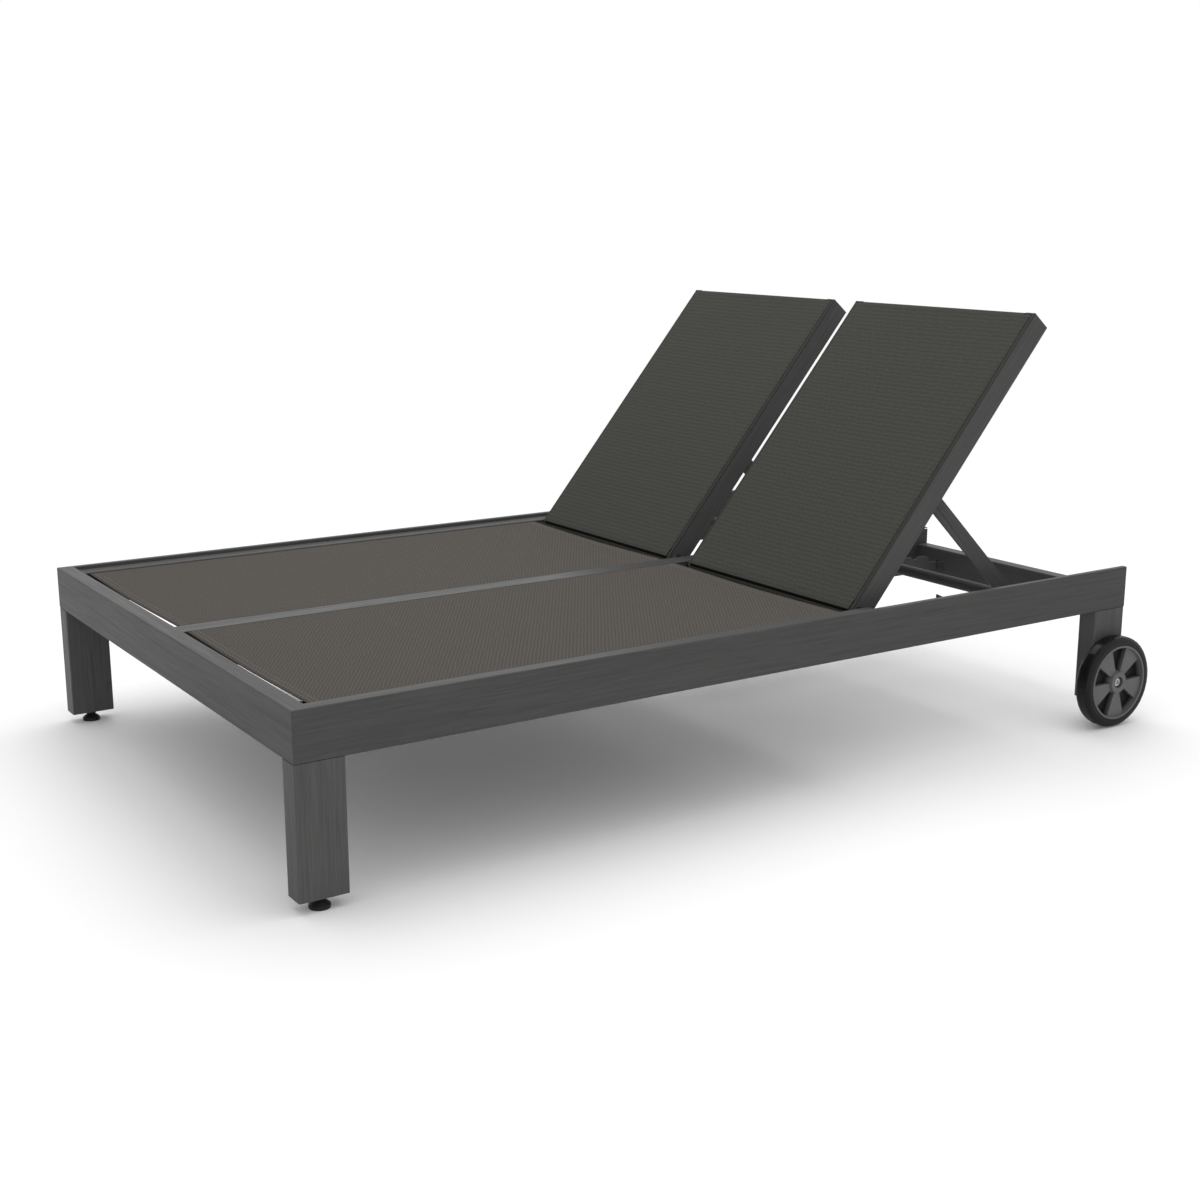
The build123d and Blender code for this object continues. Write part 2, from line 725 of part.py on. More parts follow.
def top_bar():
    """The bar across the top, with round front and rear edges under the cloth."""
    y0, y1 = inner_span()
    x1 = head_face - cloth_thick
    outline = Rectangle(top_bar_height, top_bar_depth)
    upper = outline.vertices().group_by(Axis.X)[-1]
    outline = fillet(upper, top_bar_round)
    outline -= Rectangle(top_bar_height - 2 * rail_wall, top_bar_depth - 2 * rail_wall - top_bar_round / 2)
    bar = extrude(outline, (y1 - y0) / 2, both=True)
    place = Pos(x1 - top_bar_height / 2, (y0 + y1) / 2, rail_top - top_bar_depth / 2)
    return raised(place * Rot(90, 0, 0) * bar)


def spreader():
    """A hidden bar that keeps the side members apart near the prop pivots."""
    y0, y1 = inner_span()
    x = hinge_x + spreader_reach
    low = rail_top - back_depth + member_wall
    return raised(tube_along(Axis.Y, x - spreader_width / 2, x + spreader_width / 2, y0, y1,
                             low, low + spreader_depth, rail_wall, rail_edge))


def ring_part(radius_in, x, z, y0, y1, keep):
    """The part of a thin ring about Y that lies inside a block."""
    ring = rod_y(radius_in + cloth_thick, x, z, y0, y1) - rod_y(radius_in, x, z, y0, y1)
    return ring & keep


def back_cloth():
    """One sheet: round the bottom tube, up the front and over the top bar."""
    y_out = back_near + member_slot_inset - cloth_thick / 2
    y_in = back_far - member_slot_inset + cloth_thick / 2
    y0, y1 = inner_span()
    y0 += cloth_side_gap
    y1 -= cloth_side_gap
    corner_x = head_face - cloth_thick - top_bar_round
    corner_z = rail_top - top_bar_round
    front = block(hinge_x, corner_x, y_out, y_in, rail_top, rail_top + cloth_thick)
    under_x = hinge_x - hinge_behind_face - overrun
    nose = ring_part(hinge_behind_face, hinge_x, hinge_z, y_out, y_in,
                     block(under_x, hinge_x, y_out, y_in, hinge_z, rail_top + overrun))
    wrap = ring_part(hinge_behind_face, hinge_x, hinge_z, y0, y1,
                     block(under_x, hinge_x, y0, y1, rail_top - back_depth, hinge_z))
    roll = ring_part(top_bar_round, corner_x, corner_z, y0, y1,
                     block(corner_x, head_face + overrun, y0, y1, corner_z, rail_top + overrun))
    over = block(head_face - cloth_thick, head_face, y0, y1,
                 rail_top - top_bar_depth + top_bar_round, corner_z)
    x0 = hinge_x + hinge_behind_face
    grip_a = block(x0, corner_x, y_out, y_out + cloth_thick, rail_top - cloth_bite, rail_top)
    grip_b = block(x0, corner_x, y_in - cloth_thick, y_in, rail_top - cloth_bite, rail_top)
    return raised(front + nose + wrap + roll + over + grip_a + grip_b)


def back_rods():
    """The plastic rods in the two side edges of a backrest cloth."""
    z = rail_top - groove_lip - groove_diameter / 2
    x0 = hinge_x + hinge_behind_face
    x1 = head_face - cloth_thick - top_bar_round
    return [raised(rod_x(rod_diameter / 2, y, z - cloth_thick, x0, x1, rod_sides))
            for y in (back_near + member_slot_inset, back_far - member_slot_inset)]


def prop_arm_near(outer):
    """Least Y of a prop arm, beside the inner face of its side member."""
    y0, y1 = inner_span()
    return y0 + prop_arm_gap if outer else y1 - prop_arm_gap - prop_arm_thick


def prop_arm(outer):
    """A flat bar with round ends, from the pivot bolt down to the cross tube."""
    px, pz = prop_pivot_at(back_angle)
    tx, tz = prop_tube_at(back_angle)
    y0 = prop_arm_near(outer)
    slope = Rot(0, 0, -prop_drop_at(back_angle))
    bar = Pos((px + tx) / 2, (pz + tz) / 2) * slope * Rectangle(prop_length, prop_arm_width)
    for x, z in ((px, pz), (tx, tz)):
        bar += Pos(x, z) * slope * RegularPolygon(prop_arm_width / 2, washer_sides, major_radius=False,
                                                  rotation=180 / washer_sides)
    bar -= Pos(px, pz) * Circle(prop_bolt_diameter / 2 + prop_bolt_gap)
    return Pos(0, y0 + prop_arm_thick / 2, 0) * Rot(90, 0, 0) * extrude(bar, prop_arm_thick / 2, both=True)


def prop_tube():
    """The round cross tube that drops into the racks, welded between the two arms."""
    x, z = prop_tube_at(back_angle)
    y0 = prop_arm_near(True) + prop_arm_thick + prop_weld_gap
    y1 = prop_arm_near(False) - prop_weld_gap
    tube = rod_y(prop_tube_diameter / 2, x, z, y0, y1)
    return tube - rod_y(prop_tube_diameter / 2 - prop_tube_wall, x, z, y0 - overrun, y1 + overrun,
                        washer_sides)


def prop_bolts():
    """Shoulder bolts that carry the arms, screwed into the side members."""
    x, z = prop_pivot_at(back_angle)
    bolts = []
    for outer in (True, False):
        arm = prop_arm_near(outer)
        y0, y1 = inner_span()
        if outer:
            face = arm + prop_arm_thick + prop_arm_gap
            shank = rod_y(prop_bolt_diameter / 2, x, z, y0 - prop_bolt_inside, face)
            head = rod_y(prop_bolt_head_diameter / 2, x, z, face, face + prop_bolt_head_height,
                         screw_sides)
        else:
            face = arm - prop_arm_gap
            shank = rod_y(prop_bolt_diameter / 2, x, z, face, y1 + prop_bolt_inside)
            head = rod_y(prop_bolt_head_diameter / 2, x, z, face - prop_bolt_head_height, face,
                         screw_sides)
        bolts.append(shank + head)
    return bolts


def rack_angles():
    steps = int((back_high - notch_lowest_angle) / notch_angle_step)
    return [back_high - number * notch_angle_step for number in range(steps + 1)]


def rack_face():
    """Side view of a rack. Its crest lies just under the path of the cross tube."""
    reach = prop_tube_diameter / 2 + rack_clearance
    step = notch_angle_step / 2
    crest = []
    for number in range(int((back_high - back_low) / step) + 1):
        x, z = prop_tube_at(back_high - number * step)
        crest.append((x, z - reach))
    start_x = crest[0][0] - rack_start_margin
    end_x = crest[-1][0] + rack_end_margin
    hump = [(start_x - rack_slope, rack_bottom), (start_x - rack_slope, rack_top),
            (start_x, crest[0][1])] + crest
    hump += [(end_x, crest[-1][1]), (end_x + rack_slope, rack_top), (end_x + rack_slope, rack_bottom)]
    bar = Pos((rack_start + rack_end) / 2, (rack_bottom + rack_top) / 2) * Rectangle(
        rack_end - rack_start, rack_bar_height)
    face = bar + make_face(Polyline(*hump, close=True))
    for angle in rack_angles():
        x, z = prop_tube_at(angle)
        notch = RegularPolygon(prop_tube_diameter / 2 + notch_round_gap, washer_sides, major_radius=False)
        face -= Pos(x, z - notch_depth) * notch
    tab_x = crest[0][0] - rack_tab_back
    tab_top = rail_top - rack_tab_drop
    tab = make_face(Polyline(
        (tab_x, rack_bottom), (tab_x, tab_top), (tab_x + rack_tab_width, tab_top - rack_tab_fall),
        (tab_x + rack_tab_width, rack_bottom), close=True))
    return face + tab


def rack_near(outer):
    """Least Y of a rack plate."""
    if outer:
        return prop_arm_near(True) + prop_arm_thick + rack_from_arm
    return prop_arm_near(False) - rack_from_arm - rack_thick


def rack_foot_middle(outer):
    """Y of the screws in the two bent feet of a rack."""
    if outer:
        return rack_near(True) + rack_foot_width / 2
    return rack_near(False) + rack_thick - rack_foot_width / 2


def rack(outer):
    """A notched plate with a bent foot at each end."""
    y0 = rack_near(outer)
    plate = Pos(0, y0 + rack_thick / 2, 0) * Rot(90, 0, 0) * extrude(
        rack_face(), rack_thick / 2, both=True)
    middle = rack_foot_middle(outer)
    for x in (rack_start, rack_end - rack_foot_thick):
        plate += block(x, x + rack_foot_thick, middle - rack_foot_width / 2,
                       middle + rack_foot_width / 2, rack_bottom, rack_bottom + rack_foot_height)
    return plate - rack_screw_holes()


def rack_screw_holes():
    """Holes through the rack feet and into the bars behind them, for one bay."""
    radius = rack_screw_diameter / 2 + bolt_gap
    height = rack_top - rack_screw_drop
    reach = rack_foot_thick + rack_screw_bite
    holes = []
    for outer in (True, False):
        y = rack_screw_y(outer)
        holes.append(rod_x(radius, y, height, rack_start - reach, rack_start + reach, screw_sides))
        holes.append(rod_x(radius, y, height, rack_end - reach, rack_end + reach, screw_sides))
    return Part() + holes


def rack_screw_y(outer):
    """Y of a screw, beside the plate in the free part of the foot."""
    side = 1 if outer else -1
    return rack_foot_middle(outer) + side * rack_thick / 2


def rack_screws():
    """Screws that fix the feet of the racks of one bay."""
    screws = []
    height = rack_top - rack_screw_drop
    shank = rack_screw_diameter / 2
    head = rack_screw_head_diameter / 2
    for outer in (True, False):
        y = rack_screw_y(outer)
        for face, side in ((rack_start + rack_foot_thick, 1), (rack_end - rack_foot_thick, -1)):
            tip = face - side * (rack_foot_thick + rack_screw_bite)
            top = face + side * rack_screw_head_height
            screws.append(rod_x(shank, y, height, min(face, tip), max(face, tip), screw_sides)
                          + rod_x(head, y, height, min(face, top), max(face, top), screw_sides))
    return screws


def save(name, shapes):
    """Writes one node, given as one solid or a list of separate ones."""
    if isinstance(shapes, list):
        solids = [solid for shape in shapes for solid in shape.solids()]
        shape = Compound(children=solids)
    else:
        shape = shapes
    export_step(shape, "parts/" + name + ".step")


def both(name, shapes):
    """Writes the near and the far node of a mirrored pair."""
    save("near_" + name, shapes)
    if isinstance(shapes, list):
        save("far_" + name, [far(shape) for shape in shapes])
    else:
        save("far_" + name, far(shapes))


def paired(shapes):
    """Near and far solids together, for a node that holds both."""
    return shapes + [far(shape) for shape in shapes]


os.makedirs("parts", exist_ok=True)

save("foot_rail", foot_rail())
save("head_rail", head_rail())
save("centre_rail", centre_rail())
both("side_rail", side_rail())
both("sling_rail", sling_rail())
both("seat_bars", [seat_bar(number) for number in range(front_seat_bars + 1)])
save("foot_gussets", paired([foot_gusset()]))
both("foot_leg", leg(foot_face, foot_leg_bottom))
both("head_leg", head_leg())
save("leg_inserts", paired([leg_plug(foot_face, True), leg_plug(head_face - leg_depth, False),
                            foot_leg_cap(), head_leg_cap()]))
save("leg_brackets", paired([leg_bracket(True), leg_bracket(False)]))
save("leg_bolts", paired(leg_bolts(True) + leg_bolts(False)))
both("glide", glide())
both("seat_sling", seat_cloth())
save("seat_sling_rods", paired(seat_rods()))
both("tyre", tyre())
both("wheel_rim", wheel_rim())
both("wheel_bush", wheel_bush())
save("axle_bolts", paired([axle_bolt()]))
save("axle_washers", paired(axle_washers()))
save("axle_nuts", paired([axle_nut()]))
save("hinge_pins", paired([outer_hinge_pin()]) + [centre_hinge_pin()])
save("hinge_washers", paired([outer_hinge_washer(), centre_spacer()]))
both("back_outer_member", back_member(True))
both("back_inner_member", back_member(False))
both("back_member_caps", [member_cap(True), member_cap(False)])
both("hinge_bushes", [hinge_bush(True), hinge_bush(False)])
both("back_bottom_tube", bottom_tube())
both("back_top_bar", top_bar())
both("back_spreader", spreader())
both("back_sling", back_cloth())
both("back_sling_rods", back_rods())
both("prop_arms", [prop_arm(True), prop_arm(False)])
both("prop_tube", prop_tube())
both("prop_bolts", prop_bolts())
both("racks", [rack(True), rack(False)])
save("rack_screws", paired(rack_screws()))
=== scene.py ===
# %% [markdown]
# # A double chaise lounger, step by step
# The frame of this lounger is extruded aluminium with a printed wood grain under a clear,
# matt coat. Each place has a flat sling seat and a sling backrest that folds up on a prop,
# and two wheels at the head end let one person move it. Its solids come from the CAD model.
# This lesson gives them their finishes, makes the cloth again as real cloth, and lights it.

# %% Open the model
import json
import math

import bmesh
import bpy
from mathutils import Matrix, Vector


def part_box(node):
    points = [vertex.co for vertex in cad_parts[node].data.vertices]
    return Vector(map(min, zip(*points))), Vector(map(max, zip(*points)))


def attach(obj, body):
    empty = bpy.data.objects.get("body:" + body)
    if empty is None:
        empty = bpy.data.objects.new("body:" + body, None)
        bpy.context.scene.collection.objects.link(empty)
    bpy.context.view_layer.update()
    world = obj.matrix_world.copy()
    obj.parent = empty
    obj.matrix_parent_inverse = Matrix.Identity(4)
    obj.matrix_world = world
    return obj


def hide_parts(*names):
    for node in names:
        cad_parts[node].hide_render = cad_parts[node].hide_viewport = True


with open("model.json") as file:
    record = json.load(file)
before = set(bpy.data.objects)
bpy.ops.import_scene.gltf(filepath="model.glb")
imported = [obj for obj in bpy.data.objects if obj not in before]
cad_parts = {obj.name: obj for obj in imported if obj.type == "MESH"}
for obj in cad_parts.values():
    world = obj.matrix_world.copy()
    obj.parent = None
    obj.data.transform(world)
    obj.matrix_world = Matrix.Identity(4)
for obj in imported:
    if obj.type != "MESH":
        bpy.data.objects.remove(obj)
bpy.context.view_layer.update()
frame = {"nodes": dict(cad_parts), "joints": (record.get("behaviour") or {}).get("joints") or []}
nodes = frame["nodes"]

# %% [markdown]
# ## Places to work from
# Every piece is made where the solids already are, so most of its places are read from them.
# Only a few sizes of the bars are typed again, where the backrests' cloth is shaped. The
# backrests stand at 50 degrees. It is far easier to shape their cloth while they lie flat,
# and then to turn it up about the hinge line.

# %% Hinge line and backrest angle
joints = {joint["name"]: joint for joint in frame["joints"]}
hinge_x, _, hinge_z = joints["near_back_hinge"]["pos_m"]
back_angle = math.radians(50.0)
rail_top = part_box("near_side_rail")[1].z
raise_back = (Matrix.Translation((hinge_x, 0.0, hinge_z)) @ Matrix.Rotation(-back_angle, 4, "Y")
              @ Matrix.Translation((-hinge_x, 0.0, -hinge_z)))
print("hinge line at X %.4f, Z %.4f, rail top %.4f" % (hinge_x, hinge_z, rail_top))

# %% [markdown]
# ## Small helpers
# A node tree is easier to read when each node is made in one line and linked in the next.
# `add_node` makes a node and fills in its values, and `new_group` makes a node group with
# named sockets, so that one effect can be placed in several materials. `names_of` finds the
# solids by the name that near and far side share.

# %% Helpers
def add_node(tree, kind, settings=None, values=None):
    """Adds one node, with its settings and the values of its unlinked inputs."""
    node = tree.nodes.new(kind)
    for name, value in (settings or {}).items():
        setattr(node, name, value)
    for name, value in (values or {}).items():
        node.inputs[name].default_value = value
    return node


def new_group(name, inputs, outputs):
    """Makes a node group. Each input is (name, socket type, start value)."""
    group = bpy.data.node_groups.new(name, "ShaderNodeTree")
    for label, kind, start in inputs:
        socket = group.interface.new_socket(name=label, in_out="INPUT", socket_type=kind)
        if start is not None:
            socket.default_value = start
    for label, kind in outputs:
        group.interface.new_socket(name=label, in_out="OUTPUT", socket_type=kind)
    return group, group.nodes.new("NodeGroupInput"), group.nodes.new("NodeGroupOutput")


def math_node(tree, operation, first, second=0.0, clamp=False):
    """A Math node on two sockets or numbers, which returns its output."""
    node = add_node(tree, "ShaderNodeMath", {"operation": operation, "use_clamp": clamp})
    for place, value in enumerate((first, second)):
        if isinstance(value, (int, float)):
            node.inputs[place].default_value = value
        else:
            tree.links.new(value, node.inputs[place])
    return node.outputs[0]


def remap(tree, value, low, high, new_low, new_high):
    """A Map Range node from one span to another, held at its ends."""
    node = add_node(tree, "ShaderNodeMapRange", values={
        "From Min": low, "From Max": high, "To Min": new_low, "To Max": new_high})
    tree.links.new(value, node.inputs["Value"])
    return node.outputs["Result"]


def blend_colours(tree, factor, first, second):
    """A colour mix. Each colour is a socket or four numbers."""
    node = add_node(tree, "ShaderNodeMix", {"data_type": "RGBA"})
    tree.links.new(factor, node.inputs["Factor"])
    for label, value in (("A", first), ("B", second)):
        socket = [s for s in node.inputs if s.name == label and s.type == "RGBA"][0]
        if isinstance(value, (tuple, list)):
            socket.default_value = value
        else:
            tree.links.new(value, socket)
    return [s for s in node.outputs if s.type == "RGBA"][0]


def split_vector(tree, vector):
    """The X, Y and Z of a vector socket."""
    node = add_node(tree, "ShaderNodeSeparateXYZ")
    tree.links.new(vector, node.inputs[0])
    return node.outputs["X"], node.outputs["Y"], node.outputs["Z"]


def names_of(stem):
    """The CAD pieces of this name: one alone, or one on the near and one on the far side."""
    return [name for name in (stem, "near_" + stem, "far_" + stem) if name in nodes]


print("helpers ready")

# %% [markdown]
# ## The wood grain
# The grain on such a frame is printed film: long dark and light streaks that run along each
# bar, with a finer, denser set of scratches between them. A noise texture gives streaks when
# it is squeezed across the bar and stretched along it. The group is fed with coordinates
# that already have the bar's length on X, so the same group serves rails, legs and backrests.

# %% Group: wood grain
# broad bands, streaks and scratches: scale along and across, detail, low, high, share
grain_layers = ((2.5, 70.0, 3.0, 0.34, 0.66, 0.30),
                (6.0, 260.0, 4.0, 0.36, 0.64, 0.42),
                (18.0, 700.0, 3.0, 0.38, 0.62, 0.28))
grain_noise = {"Scale": 1.0, "Roughness": 0.62, "Distortion": 0.35}
grain_rough = (0.40, 0.28)


def make_grain_group():
    """Streaks along X. Puts out a colour, a height and a roughness."""
    group, given, result = new_group(
        "Wood grain print",
        [("Coordinates", "NodeSocketVector", None),
         ("Light streak", "NodeSocketColor", (0.12, 0.12, 0.12, 1)),
         ("Dark streak", "NodeSocketColor", (0.05, 0.05, 0.05, 1)),
         ("Contrast", "NodeSocketFloat", 1.0)],
        [("Color", "NodeSocketColor"), ("Height", "NodeSocketFloat"), ("Roughness", "NodeSocketFloat")])
    mixed = 0.0
    for along, across, detail, low, high, share in grain_layers:
        stretch = add_node(group, "ShaderNodeVectorMath", {"operation": "MULTIPLY"})
        stretch.inputs[1].default_value = (along, across, across)
        group.links.new(given.outputs["Coordinates"], stretch.inputs[0])
        noise = add_node(group, "ShaderNodeTexNoise", values={"Detail": detail, **grain_noise})
        group.links.new(stretch.outputs[0], noise.inputs["Vector"])
        layer = remap(group, noise.outputs["Fac"], low, high, 0.0, 1.0)
        mixed = math_node(group, "ADD", mixed, math_node(group, "MULTIPLY", layer, share))
    centred = math_node(group, "MULTIPLY", math_node(group, "SUBTRACT", mixed, 0.5),
                        given.outputs["Contrast"])
    factor = math_node(group, "ADD", centred, 0.5, clamp=True)
    colour = blend_colours(group, factor, given.outputs["Dark streak"], given.outputs["Light streak"])
    group.links.new(colour, result.inputs["Color"])
    group.links.new(mixed, result.inputs["Height"])
    group.links.new(remap(group, mixed, 0.2, 0.8, *grain_rough), result.inputs["Roughness"])
    return group


grain_group = make_grain_group()
print("made", grain_group.name)

# %% [markdown]
# ## Powder coat and dust
# Powder coat is never quite smooth: it has a fine orange-peel ripple, and outdoors a thin
# veil of dust lies on it. Both are small, and both are wanted on the plain coated bars, on
# the plastic and on the bolts, so they are one group with a scale for the ripple and an
# amount of dust.

# %% Group: coat ripple and dust
def make_coat_group():
    """An orange-peel height, a cloudy mask and a roughness around a middle value."""
    group, given, result = new_group(
        "Coat ripple and dust",
        [("Base", "NodeSocketColor", (0.1, 0.1, 0.1, 1)), ("Dust", "NodeSocketColor", (0.2, 0.2, 0.19, 1)),
         ("Dust amount", "NodeSocketFloat", 0.12), ("Ripple scale", "NodeSocketFloat", 900.0),
         ("Roughness", "NodeSocketFloat", 0.45)],
        [("Color", "NodeSocketColor"), ("Height", "NodeSocketFloat"), ("Roughness", "NodeSocketFloat")])
    where = add_node(group, "ShaderNodeTexCoord")
    ripple = add_node(group, "ShaderNodeTexNoise", values={"Detail": 2.0, "Roughness": 0.5})
    cloud = add_node(group, "ShaderNodeTexNoise", values={"Scale": 14.0, "Detail": 5.0, "Roughness": 0.6})
    for noise in (ripple, cloud):
        group.links.new(where.outputs["Object"], noise.inputs["Vector"])
    group.links.new(given.outputs["Ripple scale"], ripple.inputs["Scale"])
    cloudy = remap(group, cloud.outputs["Fac"], 0.35, 0.70, 0.0, 1.0)
    amount = math_node(group, "MULTIPLY", cloudy, given.outputs["Dust amount"])
    colour = blend_colours(group, amount, given.outputs["Base"], given.outputs["Dust"])
    group.links.new(colour, result.inputs["Color"])
    group.links.new(ripple.outputs["Fac"], result.inputs["Height"])
    rough = math_node(group, "ADD", given.outputs["Roughness"], math_node(group, "MULTIPLY", amount, 0.6))
    group.links.new(rough, result.inputs["Roughness"])
    return group


coat_group = make_coat_group()
print("made", coat_group.name)

# %% [markdown]
# ## The woven sling
# Sling cloth is coated polyester yarn, woven plainly and open enough to let water through.
# Thick yarns lie side by side across the place, and thin ones bind them. From a step away
# it reads as close ribs with a fine broken shimmer. Two waves make the weave: one for the
# ribs and one for the binding yarns, whose rows change places from rib to rib. A stretched
# noise adds the flecks in the yarn. Some yarns lie a little prouder. They make the slow
# ripple that shows from afar: straight across on a backrest, and aslant on a seat.

# %% Group: woven sling
rib_bulge = 0.6
binder_low = 0.45
cord_drift = 0.9
fleck_stretch = (120.0, 900.0, 1.0)
fleck_dark = 0.72


def make_weave_group():
    """Ribs along U in a cloth whose UV map is in metres."""
    group, given, result = new_group(
        "Woven sling",
        [("UV", "NodeSocketVector", None), ("Yarn", "NodeSocketColor", (0.12, 0.11, 0.1, 1)),
         ("Gap", "NodeSocketColor", (0.03, 0.03, 0.03, 1)), ("Rib pitch", "NodeSocketFloat", 0.0026),
         ("Binder pitch", "NodeSocketFloat", 0.0042), ("Cord pitch", "NodeSocketFloat", 0.0104),
         ("Cord turn", "NodeSocketFloat", 0.0), ("Cord depth", "NodeSocketFloat", 0.24)],
        [("Color", "NodeSocketColor"), ("Height", "NodeSocketFloat")])
    across, along, _ = split_vector(group, given.outputs["UV"])
    rib_count = math_node(group, "DIVIDE", along, given.outputs["Rib pitch"])
    binder_count = math_node(group, "DIVIDE", across, given.outputs["Binder pitch"])
    odd_rib = math_node(group, "MODULO", math_node(group, "FLOOR", rib_count), 2.0)
    binder = math_node(group, "ADD", binder_count, math_node(group, "MULTIPLY", odd_rib, 0.5))
    rib_wave, binder_wave = (
        math_node(group, "ABSOLUTE", math_node(group, "SINE", math_node(group, "MULTIPLY", count, math.pi)))
        for count in (rib_count, binder))
    height = math_node(group, "MULTIPLY", math_node(group, "POWER", rib_wave, rib_bulge),
                       remap(group, binder_wave, 0.0, 0.55, binder_low, 1.0))
    drift = add_node(group, "ShaderNodeTexNoise", values={"Scale": 45.0, "Detail": 2.0, "Roughness": 0.5})
    group.links.new(given.outputs["UV"], drift.inputs["Vector"])
    turn = given.outputs["Cord turn"]
    lengthwise = math_node(group, "MULTIPLY", along, math_node(group, "COSINE", turn))
    sideways = math_node(group, "MULTIPLY", across, math_node(group, "SINE", turn))
    reach = math_node(group, "SUBTRACT", lengthwise, sideways)
    cord_count = math_node(group, "ADD", math_node(group, "DIVIDE", reach, given.outputs["Cord pitch"]),
                           math_node(group, "MULTIPLY", drift.outputs["Fac"], cord_drift))
    cord_wave = math_node(group, "SINE", math_node(group, "MULTIPLY", cord_count, math.tau))
    valley = remap(group, cord_wave, -1.0, 1.0, 1.0, 0.0)
    cord = math_node(group, "SUBTRACT", 1.0,
                     math_node(group, "MULTIPLY", valley, given.outputs["Cord depth"]))
    fleck = add_node(group, "ShaderNodeTexNoise", values={"Scale": 1.0, "Detail": 3.0, "Roughness": 0.7})
    squeeze = add_node(group, "ShaderNodeVectorMath", {"operation": "MULTIPLY"})
    squeeze.inputs[1].default_value = fleck_stretch
    group.links.new(given.outputs["UV"], squeeze.inputs[0])
    group.links.new(squeeze.outputs[0], fleck.inputs["Vector"])
    shade = math_node(group, "MULTIPLY", remap(group, height, 0.1, 0.95, 0.0, 1.0),
                      remap(group, fleck.outputs["Fac"], 0.3, 0.7, fleck_dark, 1.0))
    shade = math_node(group, "MULTIPLY", shade, cord)
    colour = blend_colours(group, shade, given.outputs["Gap"], given.outputs["Yarn"])
    group.links.new(colour, result.inputs["Color"])
    group.links.new(height, result.inputs["Height"])
    return group


weave_group = make_weave_group()
print("made", weave_group.name)

# %% [markdown]
# ## Stitching
# Each free end of a sling is folded back and sewn with two rows of thick thread. The rows
# are dashes at a fixed distance from the cloth's ends, so they too can come from the UV map:
# a thin band in V, cut into dashes in U.

# %% Group: rows of stitches
thread_share = 0.78
thread_core = 0.0003
thread_edge = 0.0008


def make_stitch_group():
    """A mask of two rows of dashes at each end of a cloth, in a UV map in metres."""
    group, given, result = new_group(
        "Hem stitches",
        [("UV", "NodeSocketVector", None), ("Cloth length", "NodeSocketFloat", 1.0),
         ("First row", "NodeSocketFloat", 0.010), ("Second row", "NodeSocketFloat", 0.020),
         ("Stitch length", "NodeSocketFloat", 0.0042)],
        [("Thread", "NodeSocketFloat")])
    across, along, _ = split_vector(group, given.outputs["UV"])
    other = math_node(group, "SUBTRACT", given.outputs["Cloth length"], along)
    from_end = math_node(group, "MINIMUM", along, other)
    stitch_count = math_node(group, "DIVIDE", across, given.outputs["Stitch length"])
    dash = math_node(group, "LESS_THAN", math_node(group, "FRACT", stitch_count), thread_share)
    rows = []
    for row in ("First row", "Second row"):
        away = math_node(group, "ABSOLUTE", math_node(group, "SUBTRACT", from_end, given.outputs[row]))
        rows.append(remap(group, away, thread_core, thread_edge, 1.0, 0.0))
    thread = math_node(group, "MULTIPLY", math_node(group, "MAXIMUM", rows[0], rows[1]), dash)
    group.links.new(thread, result.inputs["Thread"])
    return group


stitch_group = make_stitch_group()
print("made", stitch_group.name)

# %% [markdown]
# ## Materials of the frame
# The grain always runs along a bar, so the same print is wanted in four directions: along
# the side rails, across the foot and head rails, up the legs, and up the sloping backrests.
# One function makes each: it turns the coordinates and takes the print's two colours and its
# contrast. The Principled shader stays in the material. The coat over the print is matt, so
# its reflections are kept low. The legs have a lighter copy of the rails' print, which is
# painted light. The centre rail has a darker copy, which is painted shade, and a little more
# gloss: seen at a low angle, its top mirrors the white room at the foot end and the dark
# backrests near the hinge.

# %% Grained bars
def base_material(name):
    """An empty node material with its Principled shader."""
    material = bpy.data.materials.new(name)
    material.use_nodes = True
    return material, material.node_tree, material.node_tree.nodes["Principled BSDF"]


def place_group(tree, group, values=None):
    """Places a node group in a material's tree, with these values."""
    node = tree.nodes.new("ShaderNodeGroup")
    node.node_tree = group
    for name, value in (values or {}).items():
        node.inputs[name].default_value = value
    return node


def bump_from(tree, height, shader, strength, distance):
    """A Bump node from a height to the shader's normal."""
    bump = add_node(tree, "ShaderNodeBump", values={"Strength": strength, "Distance": distance})
    tree.links.new(height, bump.inputs["Height"])
    tree.links.new(bump.outputs["Normal"], shader.inputs["Normal"])


matt_sheen = 0.03
centre_sheen = 0.077
grain_relief = (0.22, 0.0004)


def grain_material(name, turn, print_colours, contrast, sheen=matt_sheen):
    """The print, with the bar's length turned onto X by these three angles."""
    material, tree, shader = base_material(name)
    where = add_node(tree, "ShaderNodeTexCoord")
    turned = add_node(tree, "ShaderNodeMapping", {"vector_type": "POINT"})
    turned.inputs["Rotation"].default_value = turn
    tree.links.new(where.outputs["Object"], turned.inputs["Vector"])
    light, dark = print_colours
    print_node = place_group(tree, grain_group, {
        "Light streak": light, "Dark streak": dark, "Contrast": contrast})
    tree.links.new(turned.outputs[0], print_node.inputs["Coordinates"])
    tree.links.new(print_node.outputs["Color"], shader.inputs["Base Color"])
    tree.links.new(print_node.outputs["Roughness"], shader.inputs["Roughness"])
    bump_from(tree, print_node.outputs["Height"], shader, *grain_relief)
    shader.inputs["Specular IOR Level"].default_value = sheen
    return material


quarter = math.pi / 2
